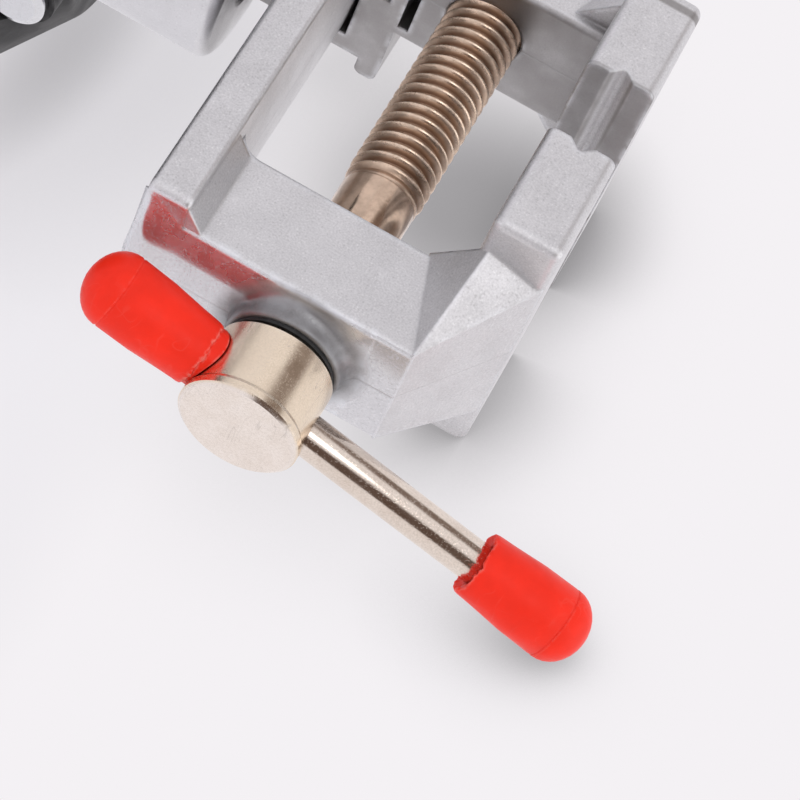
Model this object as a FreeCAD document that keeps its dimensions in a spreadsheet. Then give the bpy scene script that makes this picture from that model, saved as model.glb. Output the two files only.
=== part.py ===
"""A small bench vise on a ball joint and a suction foot, as one parametric assembly.

The frame is millimetres, +Z up. The origin is the middle of the foot's underside. +Y runs along the
lead screw from its handle to the fixed jaw, and +X runs across the jaws. Each sub-part is one object of
the document, its sizes are bound to the sheet Dims, and its Label names its file in parts/.
"""

import FreeCAD, Part
import math
import os
import re

import Sketcher

V = FreeCAD.Vector
AXES = {"X": V(1, 0, 0), "Y": V(0, 1, 0), "Z": V(0, 0, 1)}

SIZES = {
    # lead screw, its head and the handle through it
    "screw_z": 79.7,  # height of the screw's axis
    "screw_major": 12,
    "screw_pitch": 2,
    "shank_dia": 11.2,
    "thread_front": -30.7,
    "screw_rear": 40,
    "groove_y": -50.6,
    "groove_wide": 3.3,
    "groove_dia": 8.4,
    "spigot_dia": 9,
    "head_face": -74.9,
    "head_back": -62.4,
    "head_dia": 17.3,
    "rim_dia": 17.9,
    "rim_wide": 1.5,
    "handle_y": -68.7,
    "handle_tilt": 14.5,
    "handle_dia": 6,
    "handle_hole": 6.16,
    "handle_up": 56.4,
    "handle_down": 28.1,
    "cap_long": 19,
    "cap_dia": 11.1,
    "cap_mouth": 9.4,
    "cap_dome": 4.7,
    "cap_wall": 2.5,
    # casting of the moving jaw
    "bar_low": 54,
    "bar_high": 60.3,
    "bar_half": 16.4,
    "bar_rear": 36,
    "bar_crown": 0.7,  # how far its middle stands above and below its edges
    "wall_front": -58.4,
    "wall_inner": -42.7,
    "wall_half": 11.2,
    "corner_round": 4,
    "flare_low": 90.3,
    "flare_mid": 97.4,
    "flare_half": 19.2,
    "flare_top_half": 16.5,
    "jaw_half": 25.4,
    "jaw_low": 96,
    "jaw_high": 106.4,
    "moving_face": -24.1,
    "groove_deep": 1.4,
    "groove_high": 101.2,
    "washer_dia": 16.2,
    "washer_thick": 0.6,
    "bearing_face": -61.7,  # front of the round boss that the screw's head pushes on
    "bearing_dia": 17.4,
    "running_gap": 0.1,
    "pin_dia": 3,
    "pin_long": 21,
    # casting of the fixed jaw
    "fixed_face": -11,
    "fixed_back": 7.5,
    "body_front": 5,
    "body_rear": 32.5,
    "body_half": 11.2,
    "body_low": 67.9,
    "body_high": 95.4,
    "fixed_apex": 21.4,
    "nut_long": 14,
    "saddle_half": 20,
    "saddle_low": 51.1,
    "floor_top": 53,
    "tongue_front": -6.8,
    "flange_half": 23.3,
    "flange_low": 64.4,
    "bar_gap": 0.3,
    "slot_wide": 18,
    "slot_low": 68,
    "slot_high": 69.7,
    "boss_low": 49.4,
    "boss_dia": 16,
    # ball and its socket
    "ball_z": 40.8,
    "ball_dia": 18,
    "ball_gap": 0.06,
    "neck_dia": 9,
    "shoulder_dia": 13,
    "stem_screw_dia": 6,
    "socket_dia": 38.9,
    "socket_low": 27.2,
    "socket_high": 46.9,
    "socket_round": 1.8,
    "socket_bore": 21,
    "mouth_dia": 21,
    "lip_z": 44.6,
    "lip_dia": 16.4,
    "seat_low": 29.85,
    "spigot_high": 28.8,
    "seat_high": 33.5,
    "lock_z": 37.2,  # below the ball's middle, so that the pad also presses the ball up to the lip
    "lock_dia": 7,
    "lock_boss": 13,
    "lock_boss_end": -25,
    "knob_inner": -27.5,
    "knob_outer": -38,
    "knob_dia": 14,
    "housing_circle": 30,
    "housing_screw_dia": 4,
    # suction foot
    "foot_dia": 98,
    "skirt_low": 3,
    "cone_low": 8.3,
    "cone_top_dia": 46.1,
    "plate_thick": 3,
    "plate_hole": 18,
    "wall_thick": 3,
    "shaft_z": 21.2,
    "shaft_dia": 4,
    "bush_dia": 6,
    "bush_long": 8,
    "hub_dia": 11.8,
    "front_end": -29.7,
    "rear_end": 42,
    "shaft_cap_dia": 10,
    "cam_dia": 7,
    "cam_offset": 0.8,
    "cam_wide": 6,
    "yoke_half": 6.3,
    "yoke_thick": 6.8,
    "yoke_low": 13.6,
    "yoke_high": 27,
    "window_half": 4.6,
    "window_low": 18.2,
    "window_high": 25.8,
    "stud_dia": 6,
    "stud_plate_dia": 28,
    "cup_top": 6.5,
    "lever_thick": 7,
    "lever_long": 46,
    "lever_rest": 8,
    "grip_dia": 10,
    "grip_long": 24,
}

PIN_Z = "screw_z - (groove_dia + pin_dia) / 2 - running_gap"
WASHER_FRONT = "bearing_face - washer_thick"
LOCK_AT = (0, 0, "lock_z")
PAD_BACK = -13  # end of the lock pad that its screw pushes on

os.makedirs("parts", exist_ok=True)
doc = FreeCAD.newDocument("ball_vise")
sheet = doc.addObject("Spreadsheet::Sheet", "Dims")
for row, (alias, size) in enumerate(SIZES.items(), start=1):
    sheet.set(f"A{row}", str(size))
    sheet.setAlias(f"A{row}", alias)
doc.recompute()


def ex(formula):
    """Formula over the sheet's aliases, with the sheet's name put before each of them."""
    return re.sub(
        r"[a-z]\w*",
        lambda word: "Dims." + word.group() if word.group() in SIZES else word.group(),
        str(formula),
    )


def value(formula):
    """Number that a formula over the sheet has now."""
    return float(sheet.evalExpression(ex(formula)))


def bind(obj, **formulas):
    """Bind properties of an object to formulas over the sheet."""
    for name, formula in formulas.items():
        obj.setExpression(name, ex(formula))
    return obj


def place(obj, at=(0, 0, 0), axis="Z"):
    """Turn an object's own Z onto a row axis, such as "X" or "-Y", and bind its position to the sheet."""
    way = AXES[axis[-1]] * (-1 if axis[0] == "-" else 1)
    obj.Placement = FreeCAD.Placement(V(), FreeCAD.Rotation(V(0, 0, 1), way))
    for letter, formula in zip("xyz", at):
        obj.setExpression(f"Placement.Base.{letter}", ex(formula))
    return obj


def cylinder(name, dia, low, high, at=(0, 0, 0), axis="Z"):
    """Cylinder along a row axis from low to high, centred on the point at in the other two."""
    obj = doc.addObject("Part::Cylinder", name)
    bind(obj, Radius=f"({dia}) / 2", Height=f"({high}) - ({low})")
    where = list(at)
    where["XYZ".index(axis)] = low
    return place(obj, where, axis)


def cone(name, dia_low, dia_high, low, high, at=(0, 0, 0), axis="Z"):
    """Cone along a row axis from low to high, centred on the point at in the other two."""
    obj = doc.addObject("Part::Cone", name)
    bind(obj, Radius1=f"({dia_low}) / 2", Radius2=f"({dia_high}) / 2", Height=f"({high}) - ({low})")
    where = list(at)
    where["XYZ".index(axis)] = low
    return place(obj, where, axis)


def ball(name, dia, at):
    """Whole sphere."""
    return place(bind(doc.addObject("Part::Sphere", name), Radius=f"({dia}) / 2"), at)


def box(name, xs, ys, zs):
    """Box between two formulas on each row axis."""
    obj = doc.addObject("Part::Box", name)
    spans = [f"({high}) - ({low})" for low, high in (xs, ys, zs)]
    bind(obj, Length=spans[0], Width=spans[1], Height=spans[2])
    return place(obj, (xs[0], ys[0], zs[0]))


def across(half):
    """Span of a piece that is centred across the jaws."""
    return f"-({half})", half


def fuse(name, *pieces):
    """One solid from pieces that touch or overlap, with its seams taken out."""
    obj = doc.addObject("Part::MultiFuse", name)
    obj.Shapes = list(pieces)
    obj.Refine = True
    return obj


def cut(name, base, *tools):
    """Base without its tools."""
    obj = doc.addObject("Part::Cut", name)
    obj.Base = base
    obj.Tool = tools[0] if len(tools) == 1 else fuse(name + "_tools", *tools)
    obj.Refine = True
    return obj


def sketch(body, plane, outline, circles=()):
    """Sketch on a body's origin plane: one closed outline of straight runs, and circles.

    Each corner is a pair of formulas, and so is each circle's centre, before its diameter.
    """
    obj = body.newObject("Sketcher::SketchObject", "outline")
    obj.AttachmentSupport = [next(f for f in body.Origin.OriginFeatures if f.Role == plane)]
    obj.MapMode = "FlatFace"

    def pin(index, point, corner):
        for kind, formula in zip(("DistanceX", "DistanceY"), corner):
            place_at = Sketcher.Constraint(kind, -1, 1, index, point, value(formula))
            obj.setExpression(f"Constraints[{obj.addConstraint(place_at)}]", ex(formula))

    points = [V(value(a), value(b), 0) for a, b in outline]
    for start, end in zip(points, points[1:] + points[:1]):
        obj.addGeometry(Part.LineSegment(start, end), False)
    for index in range(len(points)):
        obj.addConstraint(Sketcher.Constraint("Coincident", index, 2, (index + 1) % len(points), 1))
    for index, corner in enumerate(outline):
        pin(index, 1, corner)
    for a, b, dia in circles:
        centre = V(value(a), value(b), 0)
        index = obj.addGeometry(Part.Circle(centre, V(0, 0, 1), value(dia) / 2), False)
        pin(index, 3, (a, b))
        limit = obj.addConstraint(Sketcher.Constraint("Diameter", index, value(dia)))
        obj.setExpression(f"Constraints[{limit}]", ex(dia))
    return obj


def prism(name, plane, outline, length, circles=()):
    """PartDesign body: an outline padded equally to both sides of an origin plane."""
    body = doc.addObject("PartDesign::Body", name)
    profile = sketch(body, plane, outline, circles)
    pad = body.newObject("PartDesign::Pad", "pad")
    pad.Profile = profile
    pad.SideType = "Symmetric"
    bind(pad, Length=length)
    profile.Visibility = False
    return body


def turned(name, outline):
    """PartDesign body: an outline of (radius, height) corners turned about the body's own Z."""
    body = doc.addObject("PartDesign::Body", name)
    profile = sketch(body, "XZ_Plane", outline)
    turn = body.newObject("PartDesign::Revolution", "turn")
    turn.Profile = profile
    turn.ReferenceAxis = (profile, ["V_Axis"])
    turn.Angle = 360
    profile.Visibility = False
    return body


def rounded(body, radius, chosen):
    """Fillet the edges of a body's last feature for which chosen(edge) holds."""
    doc.recompute()
    tip = body.Tip
    names = [f"Edge{n}" for n, edge in enumerate(tip.Shape.Edges, start=1) if chosen(edge)]
    fillet = body.newObject("PartDesign::Fillet", "round")
    fillet.Base = (tip, names)
    bind(fillet, Radius=radius)
    return body


def along(axis):
    """Test for straight edges that run along a row axis."""

    def test(edge):
        ends = edge.Vertexes
        if len(ends) < 2:
            return False
        run = ends[1].Point - ends[0].Point
        return run.Length > 0 and abs(run.normalize().dot(AXES[axis])) > 0.999

    return test


def middle(edge):
    """Point half way along an edge."""
    return edge.valueAt((edge.FirstParameter + edge.LastParameter) / 2)


def flare(name, face, apex, side):
    """Wedge that widens a narrow wall to its jaw: a trapezoid on top and two facets on each side.

    face is where it meets the jaw, apex is where it runs out, and side is the sign from apex to face.
    """
    narrow, wide, top = value("wall_half"), value("flare_half"), value("flare_top_half")
    low, mid, high = value("flare_low"), value("flare_mid"), value("jaw_high - 0.2")
    apex_z = value("body_high")
    y_face, y_apex = value(face) + side * 0.5, value(apex)

    def points(sign):
        return (
            V(sign * narrow, y_apex, apex_z),
            V(sign * narrow, y_face, low),
            V(sign * wide, y_face, mid),
            V(sign * top, y_face, high),
        )

    a, b, c, d = points(1)
    e, f, g, j = points(-1)
    corners = ((b, c, d, j, g, f), (a, d, j, e), (a, b, f, e), (a, b, c), (a, c, d), (e, f, g), (e, g, j))
    faces = [Part.Face(Part.makePolygon([*loop, loop[0]])) for loop in corners]
    solid = Part.Solid(Part.Shell(faces))
    if solid.Volume < 0:
        solid.reverse()
    obj = doc.addObject("Part::Feature", name)
    obj.Shape = solid
    return obj


def jaw_block(name, back, face):
    """Jaw with rounded outer edges and a horizontal V-groove in its gripping face."""
    low, high = sorted((back, face), key=value)
    outline = (("-jaw_half", low), ("jaw_half", low), ("jaw_half", high), ("-jaw_half", high))
    body = doc.addObject("PartDesign::Body", name + "_blank")
    profile = sketch(body, "XY_Plane", outline)
    pad = body.newObject("PartDesign::Pad", "pad")
    pad.Profile = profile
    bind(pad, Length="jaw_high - jaw_low")
    grip = value(face)
    rounded(body, 1.5, lambda edge: abs(middle(edge).y - grip) > 0.1)
    place(body, (0, 0, "jaw_low"))
    inward = "+" if value(face) < value(back) else "-"
    reach = f"{face} {inward} groove_deep"
    notch = prism(
        name + "_notch",
        "YZ_Plane",
        (
            (f"{face}", "groove_high - 1.9"),
            (reach, "groove_high - 0.3"),
            (reach, "groove_high + 0.3"),
            (f"{face}", "groove_high + 1.9"),
        ),
        "2 * jaw_half + 2",
    )
    return cut(name, body, notch)


def movable_jaw():
    """Casting of the moving jaw: slide bar below, end wall for the screw, and the jaw over the bar."""
    bar = prism(
        "bar",
        "XZ_Plane",
        (
            ("-bar_half", "bar_low"),
            (0, "bar_low - bar_crown"),
            ("bar_half", "bar_low"),
            ("bar_half", "bar_high"),
            (0, "bar_high + bar_crown"),
            ("-bar_half", "bar_high"),
        ),
        "bar_rear - wall_front",
    )
    reach = value("(bar_rear - wall_front) / 2")
    rounded(bar, 1.6, lambda edge: along("Z")(edge) and middle(edge).y < 0.1 - reach)
    rounded(bar, 0.8, lambda edge: along("Y")(edge) and abs(middle(edge).x) > value("bar_half - 0.1"))
    place(bar, (0, "(bar_rear + wall_front) / 2", 0))
    root = prism(
        "wall_root",
        "XZ_Plane",
        (
            ("-bar_half + 1", "bar_high - 0.4"),
            ("bar_half - 1", "bar_high - 0.4"),
            ("wall_half - 0.1", "bar_high + 2.6"),
            ("-wall_half + 0.1", "bar_high + 2.6"),
        ),
        "wall_inner - wall_front - 0.6",
    )
    place(root, (0, "(wall_inner + wall_front) / 2", 0))
    corner_block = box(
        "corner_block",
        across("wall_half"),
        ("wall_inner - 0.1", "wall_inner + corner_round"),
        ("bar_high - 0.1", "bar_high + corner_round"),
    )
    corner_axis = (0, "wall_inner + corner_round", "bar_high + corner_round")
    corner_hollow = cylinder(
        "corner_hollow", "2 * corner_round", "-wall_half - 1", "wall_half + 1", corner_axis, "X"
    )
    corner = cut("corner", corner_block, corner_hollow)
    wall = prism(
        "end_wall",
        "YZ_Plane",
        (
            ("wall_front", "bar_low + 1"),
            ("wall_inner", "bar_low + 1"),
            ("wall_inner", "flare_low + 2"),
            ("wall_front", "body_high"),
        ),
        "2 * wall_half",
    )
    front = value("wall_front")
    rounded(wall, 0.8, lambda edge: along("Z")(edge) and abs(middle(edge).y - front) < 0.1)
    jaw = jaw_block("moving_jaw_block", "wall_inner", "moving_face")
    wedge = flare("moving_flare", "wall_inner", "wall_front", 1)
    axis = (0, 0, "screw_z")
    bearing = turned(
        "bearing_boss",
        (
            (0, "bearing_face"),
            ("bearing_dia / 2 - 0.3", "bearing_face"),
            ("bearing_dia / 2", "bearing_face + 0.3"),
            ("bearing_dia / 2 + 0.1", "wall_front - 1"),
            ("bearing_dia / 2 + 0.4", "wall_front - 0.4"),
            ("bearing_dia / 2 + 1", "wall_front"),
            ("bearing_dia / 2 + 1", "wall_front + 0.5"),
            (0, "wall_front + 0.5"),
        ),
    )
    place(bearing, axis, "Y")
    screw_hole = cylinder("screw_hole", "shank_dia + 0.12", "bearing_face - 1", "wall_inner + 1", axis, "Y")
    pin_at = (0, "groove_y", PIN_Z)
    pin_hole = cylinder("pin_hole", "pin_dia", "wall_half - pin_long", "wall_half + 1", pin_at, "X")
    casting = fuse("moving_casting", bar, root, corner, wall, jaw, wedge, bearing)
    return cut("movable_jaw", casting, screw_hole, pin_hole)


def fixed_jaw_body():
    """Casting of the fixed jaw: narrow body with the thread, and a saddle under it for the slide bar."""
    jaw = jaw_block("fixed_jaw_block", "fixed_back", "fixed_face")
    wedge = flare("fixed_flare", "fixed_back", "fixed_apex", -1)
    body = prism(
        "body",
        "YZ_Plane",
        (
            ("body_front", "flange_low"),
            ("body_rear", "flange_low"),
            ("body_rear", "body_high - 8"),
            ("body_rear - 6", "body_high"),
            ("fixed_apex", "body_high"),
            ("body_front", "jaw_low + 2"),
        ),
        "2 * body_half",
    )
    rounded(body, 1, lambda edge: along("Z")(edge))
    saddle = prism(
        "saddle",
        "XZ_Plane",
        (
            ("-saddle_half", "saddle_low"),
            ("saddle_half", "saddle_low"),
            ("saddle_half", "flange_low"),
            ("flange_half", "flange_low"),
            ("flange_half", "body_low"),
            ("-flange_half", "body_low"),
            ("-flange_half", "flange_low"),
            ("-saddle_half", "flange_low"),
        ),
        "body_rear - body_front",
    )
    rounded(saddle, 1.2, lambda edge: along("Y")(edge) and abs(middle(edge).x) > value("flange_half - 0.1"))
    rounded(saddle, 1.2, lambda edge: along("Y")(edge) and middle(edge).z < value("saddle_low + 0.1"))
    place(saddle, (0, "(body_front + body_rear) / 2", 0))
    tongue = prism(
        "tongue",
        "XY_Plane",
        (
            ("-saddle_half + 1.2", "body_front + 2"),
            ("-saddle_half + 1.2", "tongue_front + 9"),
            ("-saddle_half + 10", "tongue_front"),
            ("saddle_half - 10", "tongue_front"),
            ("saddle_half - 1.2", "tongue_front + 9"),
            ("saddle_half - 1.2", "body_front + 2"),
        ),
        "floor_top - saddle_low",
    )
    place(tongue, (0, 0, "(floor_top + saddle_low) / 2"))
    boss = cylinder("stem_boss", "boss_dia", "boss_low", "floor_top")
    channel = box(
        "channel",
        across("bar_half + bar_gap"),
        ("body_front - 1", "body_rear + 1"),
        ("floor_top", "bar_high + bar_crown + bar_gap"),
    )
    axis = (0, 0, "screw_z")
    thread = cylinder("thread_bore", "screw_major + 0.12", "body_front - 1", "body_rear + 1", axis, "Y")
    relief = cylinder(
        "thread_relief", "screw_major + 3", "body_front + nut_long", "body_rear + 1", axis, "Y"
    )
    into = ("body_front - 1", "body_front + 16")
    slot = box("front_slot", across("slot_wide / 2"), into, ("slot_low", "slot_high"))
    skin = ("body_front - 1", "body_front + 0.8")
    panel = box("front_panel", across(5), skin, ("flange_low - 0.8", "flange_low + 1.2"))
    stem_hole = cylinder("stem_hole", "stem_screw_dia", "boss_low - 1", "bar_low")
    sink = cone("stem_sink", "stem_screw_dia", 11, "floor_top - 2.4", "floor_top + 0.001")
    solid = fuse("fixed_casting", jaw, wedge, body, saddle, tongue, boss)
    return cut("fixed_jaw_body", solid, channel, thread, relief, slot, panel, stem_hole, sink)


def lead_screw():
    """Lead screw: spigot in the head, captive groove in a smooth shank, and the thread."""
    radius = "shank_dia / 2"
    outline = (
        (0, "head_face + 2.2"),
        ("spigot_dia / 2", "head_face + 2.2"),
        ("spigot_dia / 2", "head_back"),
        (radius, "head_back"),
        (radius, "groove_y - groove_wide / 2"),
        ("groove_dia / 2", "groove_y - groove_wide / 2"),
        ("groove_dia / 2", "groove_y + groove_wide / 2"),
        (radius, "groove_y + groove_wide / 2"),
        (radius, "thread_front"),
        ("screw_major / 2", "thread_front + 0.6"),
        ("screw_major / 2", "screw_rear - 1"),
        ("screw_major / 2 - 1", "screw_rear"),
        (0, "screw_rear"),
    )
    blank = turned("lead_screw_blank", outline)
    place(blank, (0, 0, "screw_z"), "Y")
    return cut("lead_screw", blank, handle_line("spigot_hole", "handle_hole", "-20", "20"))


def handle_line(name, dia, low, high):
    """Cylinder on the handle's own axis, which leans across the head."""
    obj = doc.addObject("Part::Cylinder", name)
    bind(obj, Radius=f"({dia}) / 2", Height=f"({high}) - ({low})")
    return on_handle(obj, low)


def on_handle(obj, low):
    """Set an object's own Z on the handle's axis, its origin at the distance low from the screw's axis."""
    lean = math.radians(value("handle_tilt"))
    way = V(math.sin(lean), 0, math.cos(lean))
    obj.Placement = FreeCAD.Placement(V(), FreeCAD.Rotation(V(0, 0, 1), way))
    obj.setExpression("Placement.Base.x", ex(f"({low}) * sin(handle_tilt * 1 deg)"))
    obj.setExpression("Placement.Base.y", ex("handle_y"))
    obj.setExpression("Placement.Base.z", ex(f"screw_z + ({low}) * cos(handle_tilt * 1 deg)"))
    return obj


def screw_head():
    """Turned head with a rim round its end face, pressed on the screw and drilled for the handle."""
    outline = (
        (0, "head_face"),
        ("rim_dia / 2 - 0.6", "head_face"),
        ("rim_dia / 2", "head_face + 0.5"),
        ("rim_dia / 2", "head_face + rim_wide"),
        ("head_dia / 2", "head_face + rim_wide + 0.6"),
        ("head_dia / 2", "head_back - 0.8"),
        ("head_dia / 2 - 0.8", "head_back"),
        ("spigot_dia / 2", "head_back"),
        ("spigot_dia / 2", "head_face + 2.2"),
        (0, "head_face + 2.2"),
    )
    blank = turned("screw_head_blank", outline)
    place(blank, (0, 0, "screw_z"), "Y")
    return cut("screw_head", blank, handle_line("head_hole", "handle_hole", "-20", "20"))


def thrust_washer():
    """Dark washer between the screw's head and the end wall's boss."""
    axis = (0, 0, "screw_z")
    disc = cylinder("washer_disc", "washer_dia", WASHER_FRONT, "bearing_face", axis, "Y")
    hole = cylinder("washer_hole", "shank_dia + 0.3", f"{WASHER_FRONT} - 1", "bearing_face + 1", axis, "Y")
    return cut("thrust_washer", disc, hole)


def retaining_pin():
    """Pin across the end wall that rides in the screw's groove and draws the jaw back."""
    pin_at = (0, "groove_y", PIN_Z)
    return cylinder("retaining_pin", "pin_dia", "wall_half - pin_long", "wall_half - 0.3", pin_at, "X")


def tommy_bar():
    """Round handle bar, its ends inside the caps."""
    rod = handle_line("tommy_bar_rod", "handle_dia", "-(handle_down - cap_wall)", "handle_up - cap_wall")
    rod.Label = "tommy_bar"
    return rod


def tommy_cap(name, sign, tip):
    """Bullet-shaped cap pushed over one end of the handle, its dome towards the tip."""
    outline = [
        ("handle_dia / 2", 0),
        ("cap_mouth / 2", 0),
        ("cap_mouth / 2 + 0.25", 0.5),
        ("cap_dia / 2", "cap_long - cap_dome"),
    ]
    steps = 6
    for step in range(1, steps):
        angle = 90 * step / steps
        outline.append(
            (f"cap_dia / 2 * cos({angle} deg)", f"cap_long - cap_dome + cap_dome * sin({angle} deg)")
        )
    outline += [(0, "cap_long"), (0, "cap_long - cap_wall"), ("handle_dia / 2", "cap_long - cap_wall")]
    cap = turned(name, outline)
    lean = math.radians(value("handle_tilt"))
    way = V(math.sin(lean), 0, math.cos(lean)) * sign
    root = sign * value(f"{tip} - cap_long")
    cap.Placement = FreeCAD.Placement(V(), FreeCAD.Rotation(V(0, 0, 1), way))
    reach = f"({sign} * ({tip} - cap_long))"
    cap.setExpression("Placement.Base.x", ex(f"{reach} * sin(handle_tilt * 1 deg)"))
    cap.setExpression("Placement.Base.y", ex("handle_y"))
    cap.setExpression("Placement.Base.z", ex(f"screw_z + {reach} * cos(handle_tilt * 1 deg)"))
    return cap


def ball_stem():
    """Ball with a neck whose shoulder stands under the saddle."""
    sphere = ball("stem_ball", "ball_dia", (0, 0, "ball_z"))
    neck = cylinder("stem_neck", "neck_dia", "ball_z", "boss_low")
    shoulder = cone("stem_shoulder", "neck_dia", "shoulder_dia", "boss_low - 2.5", "boss_low - 0.8")
    collar = cylinder("stem_collar", "shoulder_dia", "boss_low - 0.8", "boss_low")
    hole = cylinder("stem_thread", "stem_screw_dia", "ball_z + 2", "boss_low + 1")
    return cut("ball_stem", fuse("stem_blank", sphere, neck, shoulder, collar), hole)


def stem_screw():
    """Countersunk screw from the slide bar's channel down into the stem."""
    shank = cylinder("stem_screw_shank", "stem_screw_dia", "ball_z + 3", "floor_top - 2")
    head = cone("stem_screw_head", "stem_screw_dia", 11, "floor_top - 2.4", "floor_top")
    key = doc.addObject("Part::Prism", "stem_screw_key")
    bind(key, Circumradius=2, Height=3)
    key.Polygon = 6
    place(key, (0, 0, "floor_top - 1.4"))
    return cut("stem_screw", fuse("stem_screw_blank", shank, head), key)


def around(name, make):
    """Four copies on the circle of the housing screws, as separate solids."""
    copies = []
    for quarter in range(4):
        angle = f"({45 + 90 * quarter} deg)"
        spot = (f"housing_circle / 2 * cos{angle}", f"housing_circle / 2 * sin{angle}")
        copies.append(make(f"{name}_{quarter}", spot))
    return copies


def socket_housing():
    """Cast tower that holds the ball: round mouth above, open bore below, and a boss for the lock."""
    tower = turned(
        "tower",
        (
            (0, "socket_low"),
            ("socket_dia / 2", "socket_low"),
            ("socket_dia / 2", "socket_high"),
            (0, "socket_high"),
        ),
    )
    top = value("socket_high")
    rounded(tower, "socket_round", lambda edge: abs(middle(edge).z - top) < 0.1 and len(edge.Vertexes) == 1)
    lock_boss = cylinder("lock_boss", "lock_boss", "lock_boss_end", -12, LOCK_AT, "X")
    bore = cylinder("socket_bore", "socket_bore", "socket_low - 1", "ball_z")
    cavity = ball("socket_cavity", "ball_dia + 2 * ball_gap", (0, 0, "ball_z"))
    mouth = cone("socket_mouth", "lip_dia", "mouth_dia", "lip_z", "socket_high + 0.001")
    lock_bore = cylinder("lock_bore", "lock_dia + 0.1", "lock_boss_end - 1", 0, LOCK_AT, "X")

    def blind_hole(name, spot):
        return cylinder(name, "housing_screw_dia", "socket_low - 1", "socket_low + 10", (*spot, 0))

    holes = around("housing_thread", blind_hole)
    casting = fuse("socket_casting", tower, lock_boss)
    return cut("socket_housing", casting, bore, cavity, mouth, lock_bore, *holes)


def ball_seat():
    """Cup under the ball that turns with it in the housing's bore."""
    blank = cylinder("seat_blank", "socket_bore - 0.2", "seat_low", "seat_high")
    return cut("ball_seat", blank, ball("seat_hollow", "ball_dia + 2 * ball_gap", (0, 0, "ball_z")))


def seat_plate():
    """Steel disc that carries the seat on the foot's top plate."""
    return cylinder("seat_plate", "socket_bore - 0.2", "spigot_high", "seat_low - 0.05")


def lock_pad():
    """Soft pad between the lock screw and the ball, hollowed to the ball."""
    blank = cylinder("lock_pad_blank", "lock_dia - 0.2", PAD_BACK, -5.5, LOCK_AT, "X")
    return cut("lock_pad", blank, ball("lock_pad_hollow", "ball_dia + 2 * ball_gap", (0, 0, "ball_z")))


def lock_screw():
    """Lock screw through the housing's boss, with a collar for its knob."""
    rod = cylinder("lock_screw_rod", "lock_dia", "knob_outer + 3", PAD_BACK - 0.05, LOCK_AT, "X")
    collar = cylinder("lock_screw_collar", "lock_dia + 3", "knob_inner", "knob_inner + 1.4", LOCK_AT, "X")
    return fuse("lock_screw", rod, collar)


def lock_knob():
    """Star knob with five grip hollows, moulded on the lock screw."""
    body = doc.addObject("PartDesign::Body", "lock_knob")
    profile = sketch(body, "XY_Plane", (), ((0, 0, "knob_dia"), (0, 0, "lock_dia")))
    pad = body.newObject("PartDesign::Pad", "pad")
    pad.Profile = profile
    bind(pad, Length="knob_inner - knob_outer")
    doc.recompute()
    hollow = body.newObject("PartDesign::Pocket", "hollow")
    hollow.Profile = sketch(body, "XY_Plane", (), (("knob_dia / 2 + 1.6", 0, "knob_dia / 2"),))
    hollow.Type = "ThroughAll"
    hollow.SideType = "Symmetric"
    fan = body.newObject("PartDesign::PolarPattern", "fan")
    fan.Originals = [hollow]
    fan.Axis = (profile, ["N_Axis"])
    fan.Angle = 360
    fan.Occurrences = 5
    body.Tip = fan
    doc.recompute()
    if fan.Shape.Volume >= pad.Shape.Volume:
        raise RuntimeError("the knob's grip hollows cut nothing")
    outer = value("knob_inner - knob_outer")
    bore = value("lock_dia + 2")
    rounded(body, 0.6, lambda edge: abs(middle(edge).z - outer) < 0.1 and middle(edge).Length > bore)
    place(body, ("knob_inner", 0, "lock_z"), "-X")
    plug = cylinder("knob_end", "lock_dia", "knob_outer", "knob_outer + 3", LOCK_AT, "X")
    return fuse("lock_knob_whole", body, plug)


def housing_screws():
    """Four pan-head screws from inside the foot up into the housing."""

    def one(name, spot):
        seat = "socket_low - plate_thick"
        shank = cylinder(name + "_shank", "housing_screw_dia", seat, "socket_low + 9", (*spot, 0))
        head = cylinder(name + "_head", 7, f"{seat} - 2.4", seat, (*spot, 0))
        return fuse(name, shank, head)

    group = doc.addObject("Part::Compound", "housing_screws")
    group.Links = around("housing_screw", one)
    return group


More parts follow.
